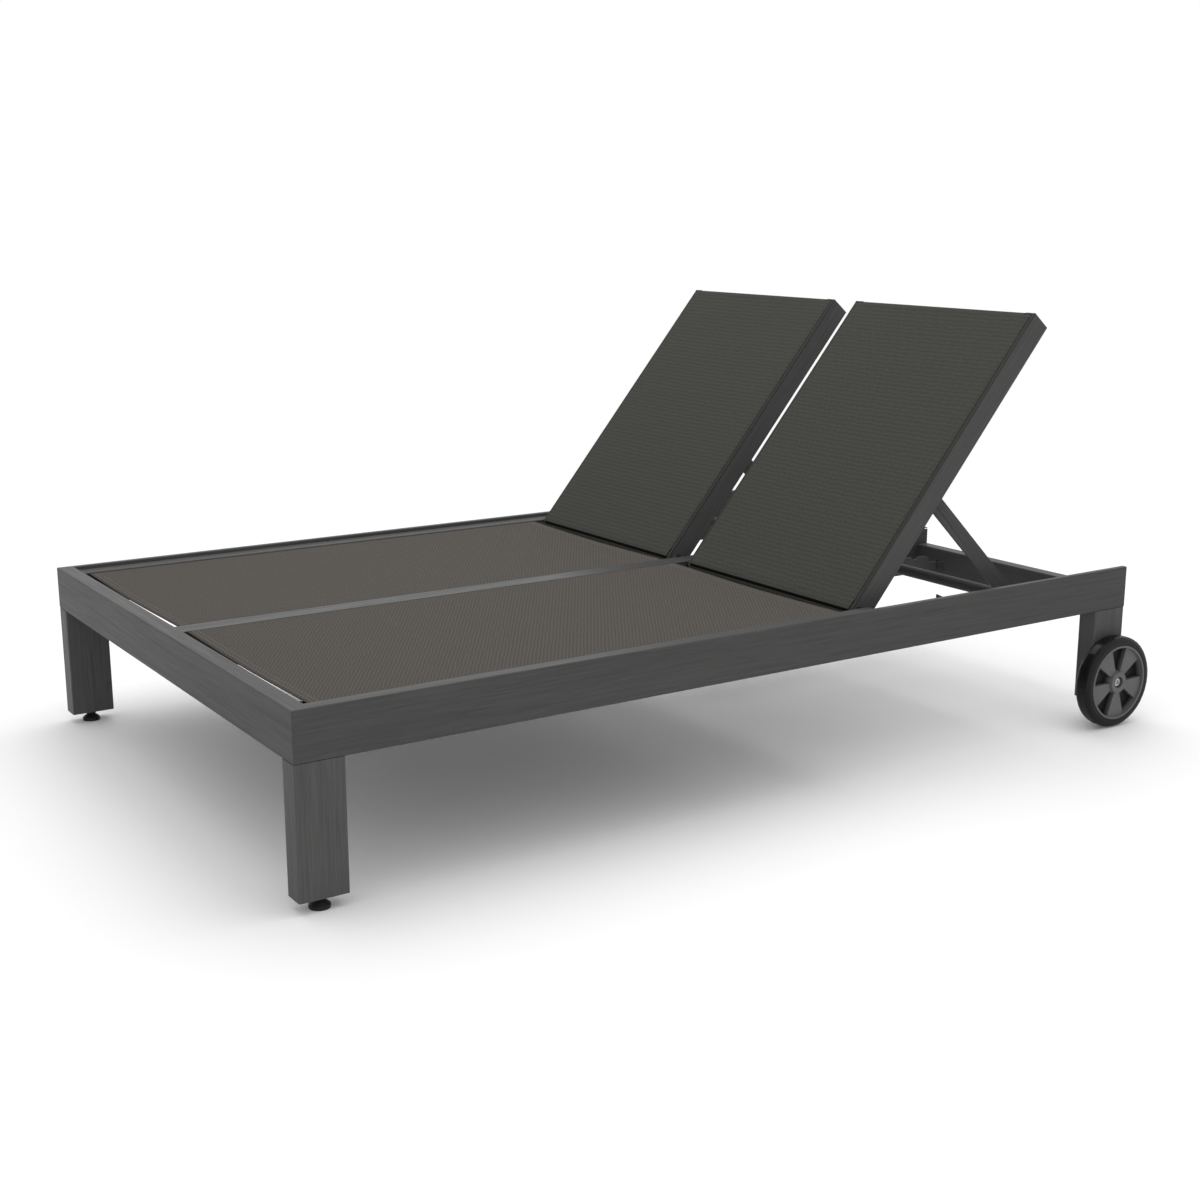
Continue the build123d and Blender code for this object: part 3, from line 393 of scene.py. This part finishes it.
# the light and the dark streaks of each print
rail_print = ((0.102, 0.102, 0.100, 1), (0.060, 0.060, 0.060, 1))
# the legs' print is a lighter copy of the rails' print: painted light
lit_leg_print = ((0.122, 0.122, 0.120, 1), (0.073, 0.073, 0.073, 1))
# the centre rail's print is a darker copy of the rails' print: painted shade
shaded_centre_print = ((0.071, 0.071, 0.069, 1), (0.042, 0.042, 0.042, 1))
back_print = ((0.106, 0.106, 0.104, 1), (0.060, 0.060, 0.060, 1))
grain_along = grain_material("Grain along the lounger", (0.0, 0.0, 0.0), rail_print, 0.7)
grain_across = grain_material("Grain across the lounger", (0.0, 0.0, quarter), rail_print, 0.5)
grain_centre = grain_material("Grain on the centre rail", (0.0, 0.0, 0.0), shaded_centre_print, 0.7, centre_sheen)
grain_upright = grain_material("Grain up the legs", (0.0, quarter, 0.0), lit_leg_print, 0.85)
grain_back = grain_material("Grain up the backrests", (0.0, back_angle, 0.0), back_print, 0.6)
print("five grained finishes")

# %% [markdown]
# The narrow front strip of a backrest's side member lies under the welded edge of the cloth.
# It takes up the dark of the cloth, so that the backrest reads as one dark surface.

# %% Dark front strips
strip_colour = (0.038, 0.038, 0.036, 1)
strip_depth = 0.0030
strip_blend = 0.0018
tree = grain_back.node_tree
strip_z = (Matrix.Rotation(back_angle, 4, "Y") @ raise_back @ Vector((hinge_x, 0.0, rail_top))).z
lie_flat = [node for node in tree.nodes if node.type == "MAPPING"][0]
_, _, height = split_vector(tree, lie_flat.outputs[0])
strip_low = strip_z - strip_depth
front = remap(tree, height, strip_low, strip_low + strip_blend, 0.0, 1.0)
shader = tree.nodes["Principled BSDF"]
plain = shader.inputs["Base Color"].links[0].from_socket
tree.links.new(blend_colours(tree, front, plain, strip_colour), shader.inputs["Base Color"])
print("front strips at Z %.4f of the flat backrest" % strip_z)

# %% [markdown]
# The props slope the other way, and their angle is known from the solids: it runs from the
# pivot bolt to the cross tube. They have the print of the side rails, only a little fainter.

# %% Grain on the props
pivot = joints["near_prop_hinge"]["pos_m"]
tube_low, tube_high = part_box("near_prop_tube")
tube_middle = (tube_low + tube_high) / 2
prop_slope = math.atan2(pivot[2] - tube_middle.z, tube_middle.x - pivot[0])
grain_prop = grain_material("Grain down the props", (0.0, -prop_slope, 0.0), rail_print, 0.6)
print("props slope %.1f degrees" % math.degrees(prop_slope))

# %% [markdown]
# ## Plain finishes
# Seat bars, racks and brackets lie underneath and have the plain coat. Bolts and washers are
# zinc-plated steel, glides and plugs are moulded nylon, the wheel's rim is a satin moulding
# and its tyre is dark rubber under a thin polish.

# %% Coated, moulded and plated finishes
ripple_depth = 0.0003
polish_rough = 0.12


def coated_material(name, base, dust, dust_amount, ripple, roughness, bump,
                    metallic=0.0, gloss=0.3, polish=0.0):
    """A finish from the ripple and dust group. polish is the weight of a clear coat."""
    material, tree, shader = base_material(name)
    coat_node = place_group(tree, coat_group, {
        "Base": (*base, 1), "Dust": (*dust, 1), "Dust amount": dust_amount,
        "Ripple scale": ripple, "Roughness": roughness})
    tree.links.new(coat_node.outputs["Color"], shader.inputs["Base Color"])
    tree.links.new(coat_node.outputs["Roughness"], shader.inputs["Roughness"])
    bump_from(tree, coat_node.outputs["Height"], shader, bump, ripple_depth)
    shader.inputs["Metallic"].default_value = metallic
    shader.inputs["Specular IOR Level"].default_value = gloss
    shader.inputs["Coat Weight"].default_value = polish
    shader.inputs["Coat Roughness"].default_value = polish_rough
    return material


dark_coat = coated_material(
    "Dark powder coat", (0.068, 0.068, 0.068), (0.115, 0.115, 0.11),
    dust_amount=0.25, ripple=1100.0, roughness=0.6, bump=0.25, gloss=0.06)
plated_steel = coated_material(
    "Plated steel", (0.55, 0.55, 0.54), (0.3, 0.29, 0.27),
    dust_amount=0.3, ripple=700.0, roughness=0.3, bump=0.08, metallic=1.0)
black_nylon = coated_material(
    "Black nylon", (0.020, 0.020, 0.020), (0.08, 0.08, 0.078),
    dust_amount=0.2, ripple=1500.0, roughness=0.4, bump=0.15, gloss=0.15)
rim_plastic = coated_material(
    "Rim plastic", (0.118, 0.118, 0.119), (0.17, 0.17, 0.167),
    dust_amount=0.2, ripple=1300.0, roughness=0.38, bump=0.12, gloss=0.2)
tyre_rubber = coated_material(
    "Tyre rubber", (0.006, 0.006, 0.006), (0.03, 0.03, 0.029),
    dust_amount=0.12, ripple=1000.0, roughness=0.40, bump=0.05, gloss=0.06, polish=0.28)
print("five plain finishes")

# %% [markdown]
# The panels between the spokes lie deep, where little light comes. A mask from the depth
# behind the wheel's outer face paints shade into them, on both wheels alike.

# %% Painted shade in the wheel panels
painted_panel_shade = (0.004, 0.004, 0.004, 1)


def paint_panel_shade(material, near_y, depth, soft, amount):
    """Paints shade into a material's colour from this depth inward from both outer faces."""
    tree = material.node_tree
    shader = tree.nodes["Principled BSDF"]
    where = add_node(tree, "ShaderNodeTexCoord")
    _, across, _ = split_vector(tree, where.outputs["Object"])
    away = math_node(tree, "SUBTRACT", abs(near_y), math_node(tree, "ABSOLUTE", across))
    # painted shade: the colour darkens deeper in the panels between the spokes
    deep = remap(tree, away, depth - soft, depth, 0.0, amount)
    old = shader.inputs["Base Color"].links[0].from_socket
    tree.links.new(blend_colours(tree, deep, old, painted_panel_shade), shader.inputs["Base Color"])


wheel_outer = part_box("near_wheel_rim")[0].y
paint_panel_shade(rim_plastic, wheel_outer, depth=0.019, soft=0.010, amount=0.85)
print("wheel's outer face at Y %.4f" % wheel_outer)

# %% [markdown]
# A turned piece is made of narrow flats, and a polished one shows them in its highlight. The
# normal of each flat can be turned to point straight out from the axis at every point: its
# part along the axis is kept, and the rest is laid along the radius.

# %% Group: round normals
def make_round_group():
    """A smooth normal for a piece that is turned about an axis along Y, at this X and Z."""
    group, given, result = new_group(
        "Round normals", [("Axis X", "NodeSocketFloat", 0.0), ("Axis Z", "NodeSocketFloat", 0.0)],
        [("Normal", "NodeSocketVector")])
    where = add_node(group, "ShaderNodeTexCoord")
    place_x, _, place_z = split_vector(group, where.outputs["Object"])
    flat_x, flat_y, flat_z = split_vector(group, where.outputs["Normal"])
    out_x = math_node(group, "SUBTRACT", place_x, given.outputs["Axis X"])
    out_z = math_node(group, "SUBTRACT", place_z, given.outputs["Axis Z"])
    squares = math_node(group, "ADD", math_node(group, "MULTIPLY", out_x, out_x),
                        math_node(group, "MULTIPLY", out_z, out_z))
    reach = math_node(group, "SQRT", squares)
    outward = math_node(group, "ADD", math_node(group, "MULTIPLY", out_x, flat_x),
                        math_node(group, "MULTIPLY", out_z, flat_z))
    share = math_node(group, "DIVIDE", math_node(group, "DIVIDE", outward, reach), reach)
    joined = add_node(group, "ShaderNodeCombineXYZ")
    group.links.new(math_node(group, "MULTIPLY", out_x, share), joined.inputs["X"])
    group.links.new(flat_y, joined.inputs["Y"])
    group.links.new(math_node(group, "MULTIPLY", out_z, share), joined.inputs["Z"])
    turned = add_node(group, "ShaderNodeVectorTransform", {
        "vector_type": "NORMAL", "convert_from": "OBJECT", "convert_to": "WORLD"})
    group.links.new(joined.outputs[0], turned.inputs[0])
    group.links.new(turned.outputs[0], result.inputs["Normal"])
    return group


round_group = make_round_group()
axle_x, _, axle_z = joints["near_wheel_spin"]["pos_m"]
tree = tyre_rubber.node_tree
round_node = place_group(tree, round_group, {"Axis X": axle_x, "Axis Z": axle_z})
bump = tree.nodes["Principled BSDF"].inputs["Normal"].links[0].from_node
tree.links.new(round_node.outputs["Normal"], bump.inputs["Normal"])
print("made", round_group.name, "about X %.3f, Z %.3f" % (axle_x, axle_z))

# %% [markdown]
# ## Finishes onto the CAD pieces
# The solids keep their own mesh. A table says which finish goes on which piece and which
# slot of the record that finish answers to. Near and far pieces share one line.

# %% Which finish goes where
finishes = [
    (grain_along, "wood_grain_aluminium", ["side_rail", "sling_rail"]),
    (grain_centre, "wood_grain_aluminium", ["centre_rail"]),
    (grain_across, "wood_grain_aluminium", ["foot_rail", "head_rail"]),
    (grain_upright, "wood_grain_aluminium", ["foot_leg", "head_leg"]),
    (grain_back, "brushed_aluminium", ["back_outer_member", "back_inner_member"]),
    (grain_across, "brushed_aluminium", ["back_top_bar", "back_bottom_tube", "back_spreader",
                                         "prop_tube"]),
    (grain_prop, "brushed_aluminium", ["prop_arms"]),
    (dark_coat, "painted_metal", ["seat_bars", "foot_gussets", "leg_brackets", "racks"]),
    (plated_steel, "steel_hardware", ["leg_bolts", "axle_bolts", "axle_washers", "axle_nuts", "hinge_pins",
                                      "prop_bolts", "rack_screws"]),
    (black_nylon, "black_plastic", ["glide", "leg_inserts", "back_member_caps", "seat_sling_rods",
                                    "back_sling_rods", "hinge_bushes", "hinge_washers", "wheel_bush"]),
    (rim_plastic, "wheel_plastic", ["wheel_rim"]),
    (tyre_rubber, "tyre_rubber", ["tyre"]),
]
dressed = 0
for material, slot_name, stems in finishes:
    for stem in stems:
        for name in names_of(stem):
            nodes[name].data.materials.clear()
            nodes[name].data.materials.append(material)
            dressed += 1
print("dressed", dressed, "CAD pieces")

# %% [markdown]
# Extruded tubes have a small soft edge that catches the light, and the solids have it. Cut
# plates and bolt heads get theirs here, from a narrow bevel. The loaded meshes are split
# along their sharp edges, so a weld joins the edges before the bevel can find them.

# %% Soft edges
edge_width = 0.0006
weld_distance = 0.00002
sharp_angle = math.radians(40.0)


def soften(piece):
    """A weld and a narrow bevel on the sharp edges of one piece."""
    weld = piece.modifiers.new("Joined edges", "WELD")
    weld.merge_threshold = weld_distance
    bevel = piece.modifiers.new("Soft edge", "BEVEL")
    bevel.width = edge_width
    bevel.segments = 2
    bevel.limit_method = "ANGLE"
    bevel.angle_limit = sharp_angle
    bevel.harden_normals = True


softened = 0
for stem in ("prop_arms", "racks", "leg_brackets", "foot_gussets",
             "leg_bolts", "axle_bolts", "axle_nuts", "prop_bolts"):
    for name in names_of(stem):
        soften(nodes[name])
        softened += 1
print("softened", softened, "pieces")

# %% [markdown]
# ## The cloth
# A sling is one flat sheet. Its long edges are welded round plastic rods that slide into
# grooves in the bars, and its ends are hemmed. Each sheet is a grid: rows of points go
# along the cloth and columns across it. A UV map in metres goes with the grid, so that
# the weave keeps its size wherever the cloth bends. A backrest's cloth has a narrow line of
# painted shadow at its foot, for the dark line that the photograph shows at the hinge.

# %% Cloth finish
thread_gain = 1.15
thread_height = 1.6
cloth_relief = (0.55, 0.0005)
cloth_rough = (0.95, 0.75)
cloth_sheen = 0.02
shadow_line_core = 0.0026
shadow_line_edge = 0.0038
painted_line_shadow = (0.004, 0.004, 0.004, 1)
no_shadow_line = -1.0


def cloth_material(name, length, yarn, gap, cord_pitch, cord_turn, cord_depth, dark_line):
    """The weave and its stitches, for a cloth of this length, with a painted shadow line at this V."""
    material, tree, shader = base_material(name)
    where = add_node(tree, "ShaderNodeUVMap", {"uv_map": "cloth"})
    weave = place_group(tree, weave_group, {
        "Yarn": (*yarn, 1), "Gap": (*gap, 1), "Cord pitch": cord_pitch,
        "Cord turn": cord_turn, "Cord depth": cord_depth})
    stitches = place_group(tree, stitch_group, {"Cloth length": length})
    for group_node in (weave, stitches):
        tree.links.new(where.outputs["UV"], group_node.inputs["UV"])
    thread_colour = tuple(thread_gain * part for part in yarn)
    colour = blend_colours(tree, stitches.outputs["Thread"], weave.outputs["Color"], (*thread_colour, 1))
    # a narrow line of painted shadow across the cloth, at the V given for it
    _, along, _ = split_vector(tree, where.outputs["UV"])
    away = math_node(tree, "ABSOLUTE", math_node(tree, "SUBTRACT", along, dark_line))
    shadow_mask = remap(tree, away, shadow_line_core, shadow_line_edge, 1.0, 0.0)
    tree.links.new(blend_colours(tree, shadow_mask, colour, painted_line_shadow), shader.inputs["Base Color"])
    raised = math_node(tree, "MAXIMUM", weave.outputs["Height"],
                       math_node(tree, "MULTIPLY", stitches.outputs["Thread"], thread_height))
    bump_from(tree, raised, shader, *cloth_relief)
    rough = remap(tree, weave.outputs["Height"], 0.0, 1.0, *cloth_rough)
    tree.links.new(rough, shader.inputs["Roughness"])
    shader.inputs["Specular IOR Level"].default_value = cloth_sheen
    return material


seat_look = {"yarn": (0.138, 0.126, 0.116), "gap": (0.037, 0.034, 0.030), "cord_pitch": 0.0065,
             "cord_turn": math.radians(33.0), "cord_depth": 0.42, "dark_line": no_shadow_line}
# the backrests' yarn and gap are darker copies of the seats': painted shade on the sloping backrests
shaded_back_look = {"yarn": (0.090, 0.090, 0.080), "gap": (0.026, 0.026, 0.023), "cord_pitch": 0.0104,
             "cord_turn": 0.0, "cord_depth": 0.24, "dark_line": 0.0470}
print("cloth finish ready")

# %% A sheet from rows of points
def make_sheet(name, rows, widths, thickness):
    """A smooth cloth from rows of points. widths holds the U value of each point."""
    mesh = bpy.data.meshes.new(name)
    work = bmesh.new()
    grid = [[work.verts.new(point) for point in row] for row in rows]
    lengths = [0.0]
    for before, after in zip(rows, rows[1:]):
        middle = len(before) // 2
        lengths.append(lengths[-1] + (Vector(after[middle]) - Vector(before[middle])).length)
    layer = work.loops.layers.uv.new("cloth")
    for i in range(len(rows) - 1):
        for j in range(len(rows[0]) - 1):
            corners = ((i, j), (i, j + 1), (i + 1, j + 1), (i + 1, j))
            face = work.faces.new([grid[a][b] for a, b in corners])
            face.smooth = True
            for loop, (a, b) in zip(face.loops, corners):
                loop[layer].uv = (widths[a][b], lengths[a])
    work.normal_update()
    work.to_mesh(mesh)
    work.free()
    sheet = bpy.data.objects.new(name, mesh)
    bpy.context.scene.collection.objects.link(sheet)
    solid = sheet.modifiers.new("Cloth thickness", "SOLIDIFY")
    solid.thickness = thickness
    solid.offset = -1.0
    return sheet, lengths[-1]


print("sheet maker ready")

# %% [markdown]
# ## Seat slings
# A seat sling is pulled tight between the outer rail and the centre rail. Even so it hangs
# a few millimetres in the middle, most where nothing holds it, at its two free ends. The
# tension pulls both ends back a few millimetres: at the foot rail that leaves the fine slit
# that shows the floor, and at the hinge a gap in front of the backrest, whose dark line the
# backrest cloth's painted shadow line makes darker.

# %% Seat slings
cloth_thickness = 0.0012
foot_pull = 0.006
hinge_pull = 0.008
seat_sag = 0.0035
tight_share = 0.35
seat_columns = 49
seat_rows = 97


def seat_sling(side):
    """The cloth of one seat, in place of its solid."""
    low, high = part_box(side + "_seat_sling")
    rows = []
    widths = []
    for i in range(seat_rows):
        along = i / (seat_rows - 1)
        x = low.x + foot_pull + along * (high.x - low.x - foot_pull - hinge_pull)
        free_end = 1.0 - tight_share * math.sin(math.pi * along) ** 0.5
        row = []
        for j in range(seat_columns):
            across = j / (seat_columns - 1)
            y = low.y + across * (high.y - low.y)
            sag = seat_sag * free_end * math.sin(math.pi * across) ** 1.5
            row.append((x, y, high.z - sag))
        rows.append(row)
        widths.append([point[1] - low.y for point in row])
    sheet, length = make_sheet(side + "_seat_sling_cloth", rows, widths, cloth_thickness)
    sheet.data.materials.append(cloth_material(side + " seat cloth", length, **seat_look))
    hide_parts(side + "_seat_sling")
    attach(sheet, "frame")
    return sheet


seat_slings = [seat_sling(side) for side in ("near", "far")]
print("seat slings:", [sheet.name for sheet in seat_slings])

# %% [markdown]
# ## Backrest slings
# A backrest's sling starts behind the bottom tube, passes round it, climbs the front of the
# side members and rolls over the top bar. On the front its edges dip into the grooves of the
# members; behind the tube and over the bar it is narrower, to fit between them. The path
# is drawn for a backrest that lies flat, and the whole sheet is then turned up.

# %% The path of a backrest sling
tube_radius = 0.0165
bar_radius = 0.006
back_reach = 0.7315
top_drop = 0.034
groove_dip = 0.0034
path_gap = 0.002
front_steps = 96
corner_steps = 6
drop_steps = 4


def sling_path():
    """Points (x, z, wide, dip) of the cloth's outer side, for a flat backrest."""
    path = []
    outer = tube_radius + cloth_thickness
    for turn in (270, 255, 240, 225, 210, 195, 182, 180, 165, 150, 135, 120, 105, 90):
        x = hinge_x + outer * math.cos(math.radians(turn))
        z = hinge_z + outer * math.sin(math.radians(turn))
        path.append((x, z, turn <= 180, 0.0))
    start = hinge_x + tube_radius
    corner = hinge_x + back_reach - cloth_thickness - bar_radius
    top = rail_top + cloth_thickness
    path.append((start - path_gap, top, True, 0.0))
    for step in range(front_steps + 1):
        x = start + path_gap / 2 + (corner - path_gap - start) * step / front_steps
        path.append((x, top, True, 1.0))
    round_radius = bar_radius + cloth_thickness
    for step in range(corner_steps + 1):
        turn = math.radians(90.0 - 90.0 / corner_steps * step)
        path.append((corner + round_radius * math.cos(turn),
                     rail_top - bar_radius + round_radius * math.sin(turn), False, 0.0))
    for step in range(1, drop_steps + 1):
        z = rail_top - bar_radius - (top_drop - bar_radius) * step / drop_steps
        path.append((hinge_x + back_reach, z, False, 0.0))
    return path


path = sling_path()
print("path has", len(path), "points")

# %% Backrest slings
back_sag = 0.0035
back_columns = 45
slot_inset = 0.0095
side_gap = 0.001
lip = 0.0003
lip_dip = 0.0008
shoulder = 0.0014


def back_sling(side):
    """The cloth of one backrest, drawn flat and turned up, in place of its solid."""
    members = sorted((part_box(side + "_back_" + stem) for stem in ("outer_member", "inner_member")),
                     key=lambda box: box[0].y)
    wide_low = members[0][0].y + slot_inset
    wide_high = members[1][1].y - slot_inset
    narrow_low = members[0][1].y + side_gap
    narrow_high = members[1][0].y - side_gap
    front = [x for x, z, wide, dip in path if dip]
    rows = []
    widths = []
    for x, z, wide, dip in path:
        low = wide_low if wide else narrow_low
        high = wide_high if wide else narrow_high
        along = (x - front[0]) / (front[-1] - front[0])
        row = [(x, low, z - groove_dip * dip), (x, low + lip, z - lip_dip * dip)]
        for j in range(back_columns):
            across = j / (back_columns - 1)
            y = low + shoulder + across * (high - low - 2 * shoulder)
            held = math.sin(math.pi * min(max(along, 0.0), 1.0)) ** 0.5 if dip else 0.0
            row.append((x, y, z - back_sag * held * math.sin(math.pi * across) ** 1.5))
        row += [(x, high - lip, z - lip_dip * dip), (x, high, z - groove_dip * dip)]
        rows.append([tuple(raise_back @ Vector(point)) for point in row])
        widths.append([point[1] - wide_low for point in row])
    sheet, length = make_sheet(side + "_back_sling_cloth", rows, widths, cloth_thickness)
    sheet.data.materials.append(cloth_material(side + " back cloth", length, **shaded_back_look))
    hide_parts(side + "_back_sling")
    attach(sheet, side + "_back")
    return sheet


back_slings = [back_sling(side) for side in ("near", "far")]
print("backrest slings:", [sheet.name for sheet in back_slings])

# %% [markdown]
# ## Floor and backdrop
# The lounger stands in a white studio. The floor is a large pale sheet that shows the soft
# shadow, and beyond it the camera sees plain white. Light Path tells the floor's shader who
# is looking: to the camera and to reflections, far from the lounger, it gives plain white.
# For the camera alone it is a little lighter and glows faintly, which lifts its shadows.

# %% Floor
white = (1, 1, 1, 1)
floor_reach = 14.0
fade_start = 1.8
fade_end = 3.2


def looking_and_clear(tree):
    """Two factors: a ray from the camera, and one from the camera, a reflection or glass."""
    ray = add_node(tree, "ShaderNodeLightPath")
    looking = ray.outputs["Is Camera Ray"]
    clear = math_node(tree, "MAXIMUM", looking, ray.outputs["Is Glossy Ray"])
    return looking, math_node(tree, "MAXIMUM", clear, ray.outputs["Is Transmission Ray"])


def mix_into(tree, factor, first, second, output):
    """Mixes two shaders by a factor, into the tree's output node."""
    mix = add_node(tree, "ShaderNodeMixShader")
    tree.links.new(factor, mix.inputs["Fac"])
    tree.links.new(first.outputs[0], mix.inputs[1])
    tree.links.new(second.outputs[0], mix.inputs[2])
    tree.links.new(mix.outputs[0], tree.nodes[output].inputs["Surface"])


def studio_floor():
    """A large pale square under the lounger, which fades to plain white far from it."""
    mesh = bpy.data.meshes.new("studio_floor")
    corners = [(floor_reach * x, floor_reach * y, 0) for x, y in ((-1, -1), (1, -1), (1, 1), (-1, 1))]
    mesh.from_pydata(corners, [], [(0, 1, 2, 3)])
    floor = bpy.data.objects.new("studio_floor", mesh)
    bpy.context.scene.collection.objects.link(floor)
    material, tree, shader = base_material("Studio floor")
    shader.inputs["Roughness"].default_value = 0.6
    shader.inputs["Specular IOR Level"].default_value = 0.1
    where = add_node(tree, "ShaderNodeTexCoord")
    away = add_node(tree, "ShaderNodeVectorMath", {"operation": "LENGTH"})
    tree.links.new(where.outputs["Object"], away.inputs[0])
    fade = remap(tree, away.outputs["Value"], fade_start, fade_end, 0.0, 1.0)
    glow = add_node(tree, "ShaderNodeEmission", values={"Color": white, "Strength": 1.0})
    looking, clear = looking_and_clear(tree)
    for label, lit, seen in (("Base Color", (0.86, 0.86, 0.86, 1), (0.90, 0.90, 0.90, 1)),
                             ("Emission Color", (0, 0, 0, 1), (0.05, 0.05, 0.05, 1))):
        tree.links.new(blend_colours(tree, looking, lit, seen), shader.inputs[label])
    shader.inputs["Emission Strength"].default_value = 1.0
    mix_into(tree, math_node(tree, "MULTIPLY", fade, clear), shader, glow, "Material Output")
    mesh.materials.append(material)


studio_floor()
print("floor ready")

# %% [markdown]
# ## Light
# The photograph has even, soft light that comes mostly from above. The world gives the even
# part, dimmer at the horizon than overhead. The camera and reflections see plain white.

# %% World and lamps
world = bpy.data.worlds.new("Studio")
bpy.context.scene.world = world
world.use_nodes = True
sky = world.node_tree
fill = sky.nodes["Background"]
direction = add_node(sky, "ShaderNodeTexCoord")
_, _, upward = split_vector(sky, direction.outputs["Generated"])
horizon_light = 0.50
overhead_light = 0.95
full_height = 0.8
brightness = remap(sky, upward, 0.0, full_height, horizon_light, overhead_light)
fill.inputs["Color"].default_value = white
sky.links.new(brightness, fill.inputs["Strength"])
backdrop = add_node(sky, "ShaderNodeBackground", values={"Color": white, "Strength": 1.0})
_, clear = looking_and_clear(sky)
mix_into(sky, clear, fill, backdrop, "World Output")


def soft_lamp(name, place, target, size, power):
    """A square area lamp that looks at a target."""
    lamp = bpy.data.lights.new(name, "AREA")
    lamp.shape = "SQUARE"
    lamp.size = size
    lamp.energy = power
    holder = bpy.data.objects.new(name, lamp)
    holder.location = place
    holder.rotation_euler = (Vector(target) - Vector(place)).to_track_quat("-Z", "Y").to_euler()
    bpy.context.scene.collection.objects.link(holder)
    return holder


overhead = soft_lamp("Overhead softbox", place=(0.3, 0.4, 3.4), target=(0.0, 0.0, 0.3),
                     size=4.2, power=70.0)
print("lamps:", overhead.name)

# %% [markdown]
# ## Camera
# The camera stands at the foot end on the near side, a little above the lounger. Its place
# and lens were fitted to the straight edges in the photograph.

# %% Camera
looks_down = 13.257
looks_right = 33.356
lens = bpy.data.cameras.new("Photo view")
lens.lens = 50.24
lens.sensor_width = 36.0
lens.clip_end = 60.0
camera = bpy.data.objects.new("Photo view", lens)
camera.location = (-1.98065, -3.0002, 1.1170)
camera.rotation_euler = (math.radians(90.0 - looks_down), 0.0, math.radians(-looks_right))
bpy.context.scene.collection.objects.link(camera)
bpy.context.scene.camera = camera
bpy.context.scene.view_settings.view_transform = "Standard"
print("camera at", tuple(round(value, 3) for value in camera.location))
